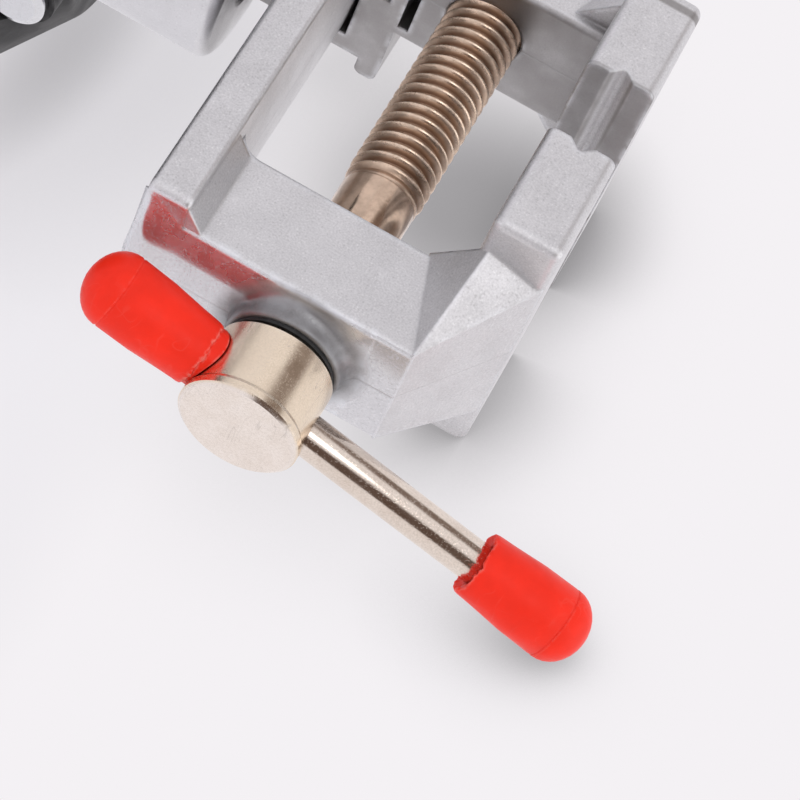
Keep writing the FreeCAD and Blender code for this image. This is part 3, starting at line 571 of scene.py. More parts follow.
@dataclass(frozen=True)
class Plate(Finish):
    """Plated or bare steel, with smudges, hairlines and a soft orange peel.

    Where a warm colour is given, everything past warm_y takes it in place of the base colour.
    """

    rough: tuple[float, float] = (0.16, 0.3)
    stain: Colour = (0.3, 0.2, 0.12)
    stained: float = 0.25
    peel: float = 0.01 * MM
    fine: float = 1900.0
    speckled: float = 0.1
    warm: Colour | None = None
    warm_y: float = 0.0

    def paint(self, coat: Coat) -> None:
        """Warm stains and a varied gloss under fine scratches, rubbed edges and painted shade in
        hollows.

        Args:
            coat: What it paints with.
        """
        tree, colour = coat.tree, self.colour
        grain, wear = coat.grain(self.fine, 330.0), coat.wear(0.6 * MM, 900.0)
        hair = coat.hair(700.0, 0.8)
        base = rgba(colour)
        if self.warm is not None:
            _, y, _ = tree.split(coat.where)
            past = tree.span(y, self.warm_y - 0.15 * MM, self.warm_y + 0.15 * MM)
            base = tree.mix(past, base, rgba(self.warm))
        layers = (
            (grain["Mottle"], self.stained, rgba(self.stain)),
            (grain["Speckle"], self.speckled, shade(self.stain, 0.6)),
            (grain["Pit"], self.stained, shade(self.stain, 0.45)),
            (hair, 0.55, shade(colour, 0.5)),
            (wear["Mask"], 0.55, shade(colour, 1.25)),
            # Painted shade: hollows are darkened towards a dark copy of the stain colour.
            (wear["Hollow"], 0.5, shade(self.stain, 0.4)),
        )
        for mask, amount, laid in layers:
            base = tree.over(base, mask, amount, laid)
        rough = tree.math("MULTIPLY_ADD", hair, 0.2, coat.gloss(260.0, self.rough))
        normal = tree.relief(grain["Height"], self.peel)
        coat.cover(Base_Color=base, Roughness=rough, Metallic=1.0, Normal=normal)


@dataclass(frozen=True)
class Moulding(Finish):
    """Moulded plastic or rubber: fine texture, and paler scuffs along its edges."""

    rough: tuple[float, float] = (0.42, 0.6)
    scuff: Colour = (0.12, 0.12, 0.12)
    texture: float = 0.03 * MM
    fine: float = 2400.0
    spec: float = 0.35

    def paint(self, coat: Coat) -> None:
        """Texture in the gloss and the relief, with scuffs on edges.

        Args:
            coat: What it paints with.
        """
        tree = coat.tree
        grain, wear = coat.grain(self.fine, 150.0), coat.wear(0.8 * MM, 500.0)
        mottled = tree.mix(grain["Mottle"], shade(self.colour, 0.85), shade(self.colour, 1.15))
        marks = tree.math("MULTIPLY_ADD", coat.hair(300.0, 0.2), 0.3, wear["Mask"], clamp=True)
        base = tree.over(mottled, marks, 0.45, rgba(self.scuff))
        rough = coat.gloss(80.0, self.rough)
        normal = tree.relief(grain["Height"], self.texture, 0.6)
        coat.cover(Base_Color=base, Roughness=rough, Specular_IOR_Level=self.spec, Normal=normal)


@dataclass(frozen=True)
class Vinyl(Finish):
    """Soft dipped vinyl of the handle's caps: saturated, half glossy, paler where it is nicked."""

    nicked: Colour = (0.98, 0.36, 0.3)
    rough: tuple[float, float] = (0.34, 0.5)
    spec: float = 0.2

    def paint(self, coat: Coat) -> None:
        """Slow waves in the gloss, with nicks on the edges and painted shade in hollows.

        Args:
            coat: What it paints with.
        """
        tree = coat.tree
        grain, wear = coat.grain(1100.0, 190.0), coat.wear(0.35 * MM, 1500.0)
        mottled = tree.mix(grain["Mottle"], shade(self.colour, 0.94), shade(self.colour, 1.04))
        base = tree.over(mottled, coat.hair(240.0, 0.5), 0.1, rgba(self.nicked))
        base = tree.over(base, wear["Mask"], 0.55, rgba(self.nicked))
        # Painted shade: hollows such as the caps' mouths are darkened.
        base = tree.over(base, wear["Hollow"], 0.4, shade(self.colour, 0.7))
        rough, normal = coat.gloss(240.0, self.rough), tree.relief(grain["Mottle"], 0.05 * MM, 0.6)
        coat.cover(Base_Color=base, Roughness=rough, Specular_IOR_Level=self.spec, Normal=normal)


@dataclass(frozen=True)
class ScrewPlate(Finish):
    """Plated thread: bright rubbed crests with painted highlights, over brown grooves with grease and
    painted shade.
    """

    groove: Colour = (0.31, 0.2, 0.14)
    rubbed: Colour = (0.82, 0.72, 0.6)
    flank: tuple[float, float] = (5.05 * MM, 5.8 * MM)
    tip: tuple[float, float] = (5.8 * MM, 5.98 * MM)
    shank_y: float = -31.2 * MM

    def paint(self, coat: Coat) -> None:
        """Colour by the distance from the screw's axis, broken by stains.

        Args:
            coat: What it paints with.
        """
        tree = coat.tree
        grain = coat.grain(1900.0, 420.0)
        radius = coat.from_screw()
        # Painted shade: the thread darkens from its crests into its grooves by the distance from the
        # axis; the groove colour is partly grease too.
        crest = tree.span(radius, *self.flank)
        stain = tree.mix(grain["Mottle"], shade(self.colour, 0.78), shade(self.colour, 1.15))
        base = tree.mix(crest, rgba(self.groove), stain)
        # Painted highlight: speckled bright crest tips, laid with the rubbing that the crests get.
        shine = tree.product(tree.span(radius, *self.tip), grain["Speckle"], 0.5)
        base = tree.mix(shine, base, rgba(self.rubbed))
        rough = tree.blend(crest, 0.4, coat.gloss(500.0, (0.2, 0.36)))
        shank = tree.span(tree.split(coat.where)[1], self.shank_y + 0.5 * MM, self.shank_y)
        rough = tree.blend(shank, rough, coat.gloss(300.0, (0.12, 0.2)))
        strength = tree.math("MULTIPLY_ADD", shank, -0.75, 1.0)
        normal = tree.relief(grain["Height"], 0.015 * MM, strength)
        coat.cover(Base_Color=base, Roughness=rough, Metallic=1.0, Normal=normal)


CASTING = CastAlloy("bare_casting", (0.7, 0.695, 0.705), polished_y=-58.2 * MM)
SADDLE = SaddleAlloy("shade_painted_casting", (0.7, 0.695, 0.705))
HOUSING = CastAlloy(
    "smooth_casting", (0.73, 0.73, 0.745), rough=(0.28, 0.4), speckle=0.04, line=False,
)
LEVER_METAL = CastAlloy("lever_casting", (0.56, 0.57, 0.59), line=False)
THREAD = ScrewPlate("bronzed_thread", (0.72, 0.55, 0.42))
HEAD = Plate(
    "warm_nickel_head", (0.95, 0.87, 0.8), rough=(0.17, 0.27), stain=(0.6, 0.48, 0.36),
    stained=0.14, peel=0.006 * MM, fine=3600.0, speckled=0.16,
    warm=(0.9, 0.77, 0.61), warm_y=-74.55 * MM,
)
BAR = Plate(
    "warm_nickel_bar", (0.88, 0.79, 0.7), rough=(0.1, 0.18), stain=(0.5, 0.36, 0.27), stained=0.22,
    peel=0.008 * MM, fine=3600.0, speckled=0.2,
)
STEEL = Plate(
    "zinc_steel", (0.62, 0.62, 0.62), rough=(0.22, 0.38), stain=(0.45, 0.45, 0.4), stained=0.2,
)
BALL_STEEL = Plate(
    "polished_steel", (0.66, 0.66, 0.67), rough=(0.07, 0.16), stain=(0.5, 0.48, 0.42), stained=0.1,
)
BLACK_STEEL = Plate("black_oxide", (0.06, 0.06, 0.065), rough=(0.3, 0.45), stain=(0.05, 0.04, 0.03))
BRASS = Plate("turned_brass", (0.74, 0.53, 0.21), rough=(0.2, 0.36), stain=(0.4, 0.25, 0.08))
BRIGHT = Plate(
    "bright_plate", (0.76, 0.77, 0.79), rough=(0.08, 0.2), stain=(0.6, 0.6, 0.6), stained=0.15,
)
RED = Vinyl("red_vinyl", (0.97, 0.027, 0.009))
SHELL = Moulding("black_shell_plastic", (0.019, 0.0185, 0.02), spec=0.26)
KNOB = Moulding("black_knob_plastic", (0.022, 0.022, 0.024), rough=(0.34, 0.5))
RUBBER = Moulding(
    "soft_black_rubber", (0.02, 0.02, 0.021), rough=(0.6, 0.78), scuff=(0.08, 0.08, 0.08),
)
GRIP = Moulding(
    "matt_black_sleeve", (0.02, 0.02, 0.02), rough=(0.55, 0.72), scuff=(0.07, 0.07, 0.07),
)
NYLON = Moulding("natural_nylon", (0.75, 0.74, 0.7), rough=(0.35, 0.5), scuff=(0.6, 0.58, 0.5))
# The washer's near-black is its own colour and also painted shade for the narrow gap between the
# screw's head and the boss.
WASHER = Moulding("black_nylon", (0.012, 0.012, 0.012), rough=(0.4, 0.55), scuff=(0.05, 0.05, 0.05))


# --------------------------------------------------------------------------------------------------
# Meshes


def sharp_edges(mesh: bmesh.types.BMesh, degrees: float) -> list[bmesh.types.BMEdge]:
    """Edges between two faces that turn by more than an angle."""
    limit = math.radians(degrees)
    return [e for e in mesh.edges if e.is_manifold and e.calc_face_angle(0.0) > limit]


def soften(mesh: bmesh.types.BMesh, width: float, degrees: float = 28.0, segments: int = 3) -> None:
    """Round every edge that is sharper than an angle.

    Args:
        mesh: The mesh to change.
        width: How far from an edge its rounding starts, in metres.
        degrees: Turn over an edge above which it is rounded.
        segments: Faces across the rounding.
    """
    bmesh.ops.bevel(
        mesh,
        geom=sharp_edges(mesh, degrees),
        offset=width,
        offset_type="OFFSET",
        segments=segments,
        profile=0.5,
        affect="EDGES",
        clamp_overlap=True,
        material=-1,
    )


def tidy(mesh: bmesh.types.BMesh) -> bmesh.types.BMesh:
    """Merge doubles and point every face outwards.

    Args:
        mesh: The mesh to change.

    Returns:
        The same mesh.
    """
    bmesh.ops.remove_doubles(mesh, verts=mesh.verts, dist=2e-6)
    bmesh.ops.recalc_face_normals(mesh, faces=mesh.faces)
    return mesh


def chain(mesh: bmesh.types.BMesh, points: Profile) -> list:
    """Run of edges in the plane of X and Z.

    Args:
        mesh: The mesh that gets them.
        points: Their (radius, height) ends, in metres.

    Returns:
        The new vertices and edges.
    """
    verts = [mesh.verts.new((radius, 0, height)) for radius, height in points]
    edges = [mesh.edges.new(pair) for pair in zip(verts, verts[1:])]
    return [*verts, *edges]


def turned(points: Profile, steps: int = 72) -> bmesh.types.BMesh:
    """Full turn of an outline about Z.

    Args:
        points: (radius, height) corners in metres, from one pole to the other or round a ring.
        steps: Faces round the turn.

    Returns:
        The mesh, closed, with its faces outwards.
    """
    mesh = bmesh.new()
    bmesh.ops.spin(
        mesh,
        geom=chain(mesh, points),
        cent=(0, 0, 0),
        axis=(0, 0, 1),
        angle=math.tau,
        steps=steps,
        use_merge=True,
    )
    return tidy(mesh)


def in_metres(points: Profile) -> Profile:
    """Outline given in millimetres, in metres."""
    return [(radius * MM, height * MM) for radius, height in points]


def add_to(mesh: bmesh.types.BMesh, other: bmesh.types.BMesh) -> None:
    """Put a copy of a mesh into another one, and free it.

    Args:
        mesh: The mesh that grows.
        other: The mesh that is added; it is freed.
    """
    spare = bpy.data.meshes.new("spare")
    other.to_mesh(spare)
    other.free()
    mesh.from_mesh(spare)
    bpy.data.meshes.remove(spare)


def node_copy(node: str, weld: float = 0.6) -> bmesh.types.BMesh:
    """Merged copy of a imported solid's mesh, its flat faces joined.

    Args:
        node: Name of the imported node.
        weld: Turn in degrees below which neighbouring faces count as one.

    Returns:
        The copy.
    """
    mesh = bmesh.new()
    mesh.from_mesh(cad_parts[node].data)
    bmesh.ops.remove_doubles(mesh, verts=mesh.verts, dist=2e-6)
    limit = math.radians(weld)
    bmesh.ops.dissolve_limit(mesh, angle_limit=limit, verts=mesh.verts, edges=mesh.edges)
    return mesh


@dataclass
class Piece:
    """Where a finished mesh goes: its name, body, slot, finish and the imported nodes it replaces."""

    name: str
    body: str
    slot: str
    finish: Finish
    stands_for: tuple[str, ...]
    crease: float = 32.0
    weighted: bool = True

    def build(self, mesh: bmesh.types.BMesh, effects: Effects) -> None:
        """Make the object, dress it and put it on its body.

        Args:
            mesh: The finished mesh, in place; it is freed.
            effects: The shared node groups.
        """
        data = bpy.data.meshes.new(self.name)
        mesh.to_mesh(data)
        mesh.free()
        data.shade_smooth()
        data.set_sharp_from_angle(angle=math.radians(self.crease))
        data.materials.append(self.finish.material(effects))
        made = bpy.data.objects.new(self.name, data)
        bpy.context.scene.collection.objects.link(made)
        if self.weighted:
            made.modifiers.new("even_normals", "WEIGHTED_NORMAL").keep_sharp = True
        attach(made, self.body)
        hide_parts(*self.stands_for)
        log.info("%s: %d faces on %s", self.name, len(data.polygons), self.body)


@dataclass
class Assembly:
    """A group of pieces that are built and dressed together. Its sizes are in millimetres."""

    effects: Effects

    def build(self) -> None:
        """Build and dress every piece."""
        raise NotImplementedError

    def dress(self, finish: Finish, *nodes: str) -> None:
        """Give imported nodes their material.

        Args:
            finish: Their finish.
            nodes: Names of the nodes.
        """
        for node in nodes:
            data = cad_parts[node].data
            data.materials.clear()
            data.materials.append(finish.material(self.effects))
            log.info("%s: packed node, %s", node, finish.name)

    def rounded_copy(self, piece: Piece, width: float, degrees: float = 28.0) -> None:
        """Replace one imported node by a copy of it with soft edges.

        Args:
            piece: The new piece, which stands for one node.
            width: Reach of the rounding, in millimetres.
            degrees: Turn over an edge above which it is rounded.
        """
        mesh = node_copy(piece.stands_for[0])
        soften(mesh, width * MM, degrees)
        piece.build(mesh, self.effects)


# --------------------------------------------------------------------------------------------------
# The vise's sub-assemblies


@dataclass
class Castings(Assembly):
    """The two jaw castings, with the ring and the pin that hold the screw in one of them."""

    edge: float = 0.5
    front: float = -58.4
    bar_low: float = 53.95
    bar_lean: float = 0.045
    bar_high: float = 60.3
    crown_half: float = 10.5
    crown_top: float = 89.6
    crown_slope: float = 0.2035
    crown_flat: float = 5.6
    crown_widening: float = 0.8
    crown_foot: float = 3.4
    crown_ridge: float = 0.35
    crown_rim: float = 0.3
    sunk: float = 0.6
    boss_radius: float = 8.55
    boss_front: float = -61.55

    def crown_reach(self, z: float) -> float:
        """Half the crown's width at a height, in millimetres."""
        return self.crown_half + self.crown_widening * max(0.0, min(5.0, self.bar_high - z))

    def swell(self, x: float, z: float) -> float:
        """How far the crown stands out of the end wall.

        Args:
            x: Place across the wall, in millimetres.
            z: Its height above the foot, in millimetres.

        Returns:
            The rise in millimetres, below zero outside the crown.
        """
        half = self.crown_reach(z)
        side = self.crown_slope * (half - abs(x))
        flat = self.crown_slope * (half - self.crown_flat)
        lift = (z - self.bar_low - self.bar_lean * abs(x)) / self.crown_foot
        foot = flat * (math.sqrt(1 - (1 - min(1.0, lift)) ** 2) if lift > 0 else lift)
        rise = min(side, foot, self.crown_slope * (self.crown_top - z))
        if side < 0:
            rise = min(rise, side * 5)
        near = max(self.crown_ridge - abs(rise - flat), 0.0) / self.crown_ridge
        return min(rise, flat) - near * near * self.crown_ridge / 4

    def crown(self) -> bmesh.types.BMesh:
        """Low crown on the front of the end wall and of the bar, which a die needs to let go of it.

        Returns:
            The crown, closed, in metres.
        """
        mesh = bmesh.new()
        bmesh.ops.create_grid(mesh, x_segments=112, y_segments=128, size=0.5)
        middle = (self.bar_low + self.crown_top) / 2
        tall = self.crown_top - self.bar_low + 2 * self.crown_rim
        for vert in mesh.verts:
            z = middle + vert.co.y * tall
            x = vert.co.x * 2 * (self.crown_reach(z) + self.crown_rim)
            vert.co = Vector((x, self.front - max(-0.4, self.swell(x, z)), z)) * MM
        back = bmesh.ops.extrude_face_region(mesh, geom=mesh.faces[:])
        for vert in back["geom"]:
            if isinstance(vert, bmesh.types.BMVert):
                vert.co.y = (self.front + self.sunk) * MM
        return tidy(mesh)

    def flare(self) -> bmesh.types.BMesh:
        """Hollow sweep from the round boss down to the wall.

        Returns:
            The ring, closed, in metres.
        """
        radius, front, wall = self.boss_radius, self.boss_front, self.front
        arc = [math.pi / 2 * part / 8 for part in range(9)]
        near, ahead = radius + 0.15, front + 0.35
        sweep = [(near + 2.5 * (1 - math.cos(a)), ahead + 2.9 * math.sin(a)) for a in arc]
        points = [(radius - 0.3, front), (radius, front + 0.06), *sweep, (radius + 2.6, wall + 0.3)]
        mesh = turned(in_metres([*points, (radius - 0.3, wall + 0.3), points[0]]), 96)
        bmesh.ops.transform(mesh, matrix=on_screw(), verts=mesh.verts)
        return mesh

    def build(self) -> None:
        """Both castings, their edges softened as a die leaves them."""
        moving = Piece("moving_jaw_casting", "moving jaw", "casting", CASTING, ("movable_jaw",))
        fixed = Piece("fixed_jaw_casting", "head", "casting", SADDLE, ("fixed_jaw_body",))
        mesh = node_copy("movable_jaw")
        soften(mesh, self.edge * MM)
        add_to(mesh, self.crown())
        add_to(mesh, self.flare())
        moving.build(mesh, self.effects)
        self.rounded_copy(fixed, self.edge)
        self.dress(WASHER, "thrust_washer")
        self.dress(STEEL, "retaining_pin")


@dataclass
class LeadScrew(Assembly):
    """Screw with its helical thread, smooth shank and captive groove, and the head pressed on it.

    Heights are along the screw from over the foot's middle.
    """

    front: float = -72.7
    shoulder: float = -62.4
    thread_front: float = -30.7
    rear: float = 40.0
    pitch: float = 2.0
    crest: float = 6.0
    root: float = 4.95
    shank_radius: float = 5.6
    spigot: float = 4.5
    groove_low: float = -52.25
    groove_high: float = -48.95
    groove_floor: float = 4.2
    fade_long: float = 2.6
    lead_long: float = 1.2
    lead_deep: float = 1.0
    shank_edge: float = 0.15
    head_edge: float = 0.35
    head_crease: float = 24
    steps: int = 48

    def thread(self) -> bmesh.types.BMesh:
        """Helical thread along Z, with round crests, cut flat at both ends.

        Returns:
            The threaded length, closed, in metres.
        """
        turns = math.ceil((self.rear - self.thread_front) / self.pitch) + 2
        low = self.thread_front - self.pitch
        depth = self.crest - self.root
        rise = ((0.0, 0.0), (0.1, 0.03), (0.22, 0.35), (0.34, 0.78), (0.43, 0.96), (0.5, 1.0))
        share = [*rise, *((1 - part, height) for part, height in reversed(rise[:-1]))]
        mesh = bmesh.new()
        outline = [(self.root + depth * height, low + part * self.pitch) for part, height in share]
        geometry = chain(mesh, in_metres(outline))
        bmesh.ops.spin(
            mesh,
            geom=geometry,
            cent=(0, 0, 0),
            axis=(0, 0, 1),
            dvec=(0, 0, self.pitch * MM / self.steps),
            angle=math.tau * turns,
            steps=self.steps * turns,
        )
        tidy(mesh)
        for height, side in ((self.thread_front, -1), (self.rear, 1)):
            cut = bmesh.ops.bisect_plane(
                mesh,
                geom=[*mesh.verts, *mesh.edges, *mesh.faces],
                dist=1e-7,
                plane_co=(0, 0, height * MM),
                plane_no=(0, 0, side),
                clear_outer=True,
            )
            rim = [part for part in cut["geom_cut"] if isinstance(part, bmesh.types.BMEdge)]
            bmesh.ops.contextual_create(mesh, geom=rim)
        self.run_out(mesh)
        return mesh

    def run_out(self, mesh: bmesh.types.BMesh) -> None:
        """Let the thread fade into the shank at one end and into a lead at the other.

        Args:
            mesh: The threaded length, along Z.
        """
        for vert in mesh.verts:
            flat = Vector((vert.co.x, vert.co.y, 0))
            radius = flat.length / MM
            if radius < 0.1:
                continue
            start = max(0.0, 1 - (vert.co.z / MM - self.thread_front) / self.fade_long)
            lead = max(0.0, 1 - (self.rear - vert.co.z / MM) / self.lead_long)
            wanted = radius + (self.shank_radius - radius) * start
            wanted += (min(wanted, self.crest - self.lead_deep) - wanted) * lead
            flat *= wanted / radius
            vert.co.x, vert.co.y = flat.x, flat.y

    def shank(self) -> bmesh.types.BMesh:
        """Smooth front end with its captive groove and spigot, along Z.

        Returns:
            The shank, closed, in metres.
        """
        seam = self.thread_front + 0.02
        corners = (
            (0, self.front),
            (self.spigot, self.front),
            (self.spigot, self.shoulder),
            (self.shank_radius, self.shoulder),
            (self.shank_radius, self.groove_low),
            (self.groove_floor, self.groove_low),
            (self.groove_floor, self.groove_high),
            (self.shank_radius, self.groove_high),
            (self.shank_radius, seam),
            (0, seam),
        )
        mesh = turned(in_metres(corners), 96)
        soften(mesh, self.shank_edge * MM)
        return mesh

    def build(self) -> None:
        """Screw and head."""
        mesh = self.thread()
        add_to(mesh, self.shank())
        bmesh.ops.transform(mesh, matrix=on_screw(), verts=mesh.verts)
        nodes = ("lead_screw",)
        screw = Piece("lead_screw_thread", "screw", "screw_thread", THREAD, nodes, weighted=False)
        screw.build(mesh, self.effects)
        head = Piece("handle_head", "screw", "nickel_head", HEAD, ("screw_head",), crease=40)
        self.rounded_copy(head, self.head_edge, self.head_crease)


@dataclass
class Handle(Assembly):
    """Tommy bar through the screw's head, and the red vinyl cap at each of its ends."""

    along: float = -68.7
    lean: float = 14.5
    rod_radius: float = 3.0
    rod_edge: float = 0.4
    upper_tip: float = 56.4
    lower_tip: float = -28.1
    cap_long: float = 19.0
    cap_radius: float = 5.55
    mouth_radius: float = 4.7
    dome: float = 4.7
    bore: float = 3.02
    wall: float = 2.5
    collar_radius: float = 4.55
    head_radius: float = 8.65
    head_gap: float = 0.15
    torn: float = 1.3
    tucked: float = 1.5

    def on_bar(self, reach: float, end: BarEnd) -> Matrix:
        """Matrix that lays a piece's own Z on the bar's axis.

        Args:
            reach: Distance of the piece's origin from the screw's axis, positive upwards.
            end: The end of the bar that its +Z points to.

        Returns:
            The turn and the move as one matrix.
        """
        lean = math.radians(self.lean)
        way = Vector((math.sin(lean), 0, math.cos(lean)))
        at = Vector((0, self.along * MM, SCREW_Z)) + way * reach * MM
        turn = Vector((0, 0, 1)).rotation_difference(way * end.value)
        return Matrix.Translation(at) @ turn.to_matrix().to_4x4()

    def skin(self) -> bmesh.types.BMesh:
        """One cap from its mouth at Z = 0: domed end, moulding seam, tapered skirt and bore.

        Returns:
            The cap, closed, in metres.
        """
        long, wide, base = self.cap_long, self.cap_radius, self.cap_long - self.dome
        arc = [math.pi / 2 * part / 9 for part in range(1, 10)]
        points = [
            (0.0, long),
            *((wide * math.sin(a), base + self.dome * math.cos(a)) for a in arc),
            (wide - 0.01, base - 0.1),
            (wide - 0.13, base - 0.2),
            (wide - 0.13, base - 0.36),
            (wide - 0.03, base - 0.5),
            (wide - 0.1, base * 0.6),
            (self.mouth_radius + 0.36, base * 0.25),
            (self.mouth_radius + 0.24, 1.4),
            (self.mouth_radius + 0.2, 0.7),
            (self.mouth_radius + 0.1, 0.12),
            (self.mouth_radius - 0.1, 0.0),
            (self.mouth_radius - 0.45, 0.08),
            (self.mouth_radius - 0.75, 0.5),
            (self.bore + 0.35, 0.7),
            (self.bore + 0.1, 0.9),
            (self.bore, 1.2),
            (self.bore, long - self.wall),
            (0.0, long - self.wall),
        ]
        return turned(in_metres(points), 120)

    def tear(self, mesh: bmesh.types.BMesh, seed: float) -> None:
        """Make a cap's mouth uneven, with nicks, as where a soft moulding is pulled off.

        Args:
            mesh: The cap, from its mouth at Z = 0.
            seed: Number that makes this mouth differ from the other cap's.
        """
        for vert in mesh.verts:
            height = vert.co.z / MM
            radius = math.hypot(vert.co.x, vert.co.y) / MM
            if height > self.torn or radius < self.bore + 0.05:
                continue
            angle = math.atan2(vert.co.y, vert.co.x)
            slow = noise.noise((math.cos(angle) * 2.2, math.sin(angle) * 2.2, seed))
            quick = noise.noise((math.cos(angle) * 9, math.sin(angle) * 9, seed + radius * 0.8))
            nick = max(0.0, noise.noise((math.cos(angle) * 5, math.sin(angle) * 5, seed + 5)) - 0.2)
            rise = 0.25 + slow * 0.35 + quick * 0.22 + nick * 0.5
            fade = (self.torn - height) / self.torn
            vert.co.z += max(0.0, rise) * fade * MM
            outward = 1 + quick * 0.03 * fade
            vert.co.x, vert.co.y = vert.co.x * outward, vert.co.y * outward

    def collar(self, mouth: float) -> bmesh.types.BMesh:
        """Thin inner sleeve that reaches from a cap's mouth to the screw's head, and follows it.

        Args:
            mouth: Distance of the mouth from the screw's axis.

        Returns:
            The sleeve, closed, in metres, from the mouth at Z = 0 towards -Z.
        """
        wide, bore, lip = self.collar_radius, self.bore, self.head_gap
        outside = [(wide, self.tucked), (wide, 0.6), (wide, 0.0), (wide - 0.12, -lip)]
        inside = [(bore + 0.12, -lip), (bore, 0.0), (bore, self.tucked)]
        mesh = turned(in_metres([*outside, *inside, outside[0]]), 96)
        clear = self.head_radius + self.head_gap
        for vert in mesh.verts:
            if vert.co.z / MM < 0.3:
                ahead = mouth - math.sqrt(clear ** 2 - (vert.co.x / MM) ** 2)
                vert.co.z -= (ahead - lip) * MM
        return mesh

    def cap(self, end: BarEnd, name: str, node: str) -> None:
        """One finished cap on its end of the bar, the lower one with its inner sleeve.

        Args:
            end: The end of the bar.
            name: Name of the piece.
            node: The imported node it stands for.
        """
        tip = self.upper_tip if end is BarEnd.UPPER else self.lower_tip
        mouth = tip - end.value * self.cap_long
        mesh = self.skin()
        self.tear(mesh, tip)
        if end is BarEnd.LOWER:
            add_to(mesh, self.collar(abs(mouth)))
        bmesh.ops.transform(mesh, matrix=self.on_bar(mouth, end), verts=mesh.verts)
        piece = Piece(name, "handle", "red_cap", RED, (node,), crease=50, weighted=False)
        piece.build(mesh, self.effects)

    def build(self) -> None:
        """Bar and caps."""
        low, high = self.lower_tip + self.wall, self.upper_tip - self.wall
        points = [(0, low), (self.rod_radius, low), (self.rod_radius, high), (0, high)]
        mesh = turned(in_metres(points), 64)
        soften(mesh, self.rod_edge * MM, segments=2)
        bmesh.ops.transform(mesh, matrix=self.on_bar(0, BarEnd.UPPER), verts=mesh.verts)
        rod = Piece("tommy_rod", "handle", "nickel_bar", BAR, ("tommy_bar",), weighted=False)
        rod.build(mesh, self.effects)
        self.cap(BarEnd.UPPER, "upper_vinyl_cap", "tommy_cap_upper")
        self.cap(BarEnd.LOWER, "lower_vinyl_cap", "tommy_cap_lower")


@dataclass
class BallJoint(Assembly):
    """Ball, its seat and housing, and the lock that clamps it."""

    housing_edge: float = 0.5
    knob_edge: float = 0.3
    crease: float = 35

    def build(self) -> None:
        """Every piece between the fixed jaw and the foot."""
        housing = Piece("ball_socket_housing", "foot", "housing", HOUSING, ("socket_housing",))
        knob = Piece("lock_grip_knob", "lock knob", "knob_plastic", KNOB, ("lock_knob",))
        for piece, width in ((housing, self.housing_edge), (knob, self.knob_edge)):
            self.rounded_copy(piece, width, self.crease)
        self.dress(BALL_STEEL, "ball_stem")
        self.dress(BLACK_STEEL, "stem_screw")
        self.dress(NYLON, "ball_seat", "lock_pad")
        self.dress(STEEL, "seat_plate", "lock_screw", "housing_screws")


@dataclass
class Foot(Assembly):
    """Suction foot with its cup, cam shaft and lever."""

    shell_edge: float = 0.35
    cup_edge: float = 0.4
    lever_edge: float = 0.5
    crease: float = 35

    def build(self) -> None:
        """Every piece of the foot."""
        shell = Piece("foot_shell", "foot", "shell_plastic", SHELL, ("base_shell",))
        cup = Piece("suction_disc", "foot", "cup_rubber", RUBBER, ("suction_cup",))
        lever = Piece("cam_lever", "cam", "lever_metal", LEVER_METAL, ("suction_lever",))
        sleeve = Piece("lever_sleeve", "cam", "grip_rubber", GRIP, ("lever_grip",))
        edges = (self.shell_edge, self.cup_edge, self.lever_edge, self.lever_edge)
        for piece, width in zip((shell, cup, lever, sleeve), edges):
            self.rounded_copy(piece, width, self.crease)
        self.dress(BRIGHT, "shaft_cap")
        self.dress(STEEL, "cup_stud", "stud_nut", "cam_yoke", "cam_shaft", "lever_screw")
        self.dress(BRASS, "eccentric_cam")
        self.dress(NYLON, "front_bush", "rear_bush")


# --------------------------------------------------------------------------------------------------
# Studio


@dataclass(frozen=True)
class Softbox:
    """Round soft lamp: its name, where it stands, its size in metres and its watts."""

    name: str
    at: Point
    size: float
    watts: float


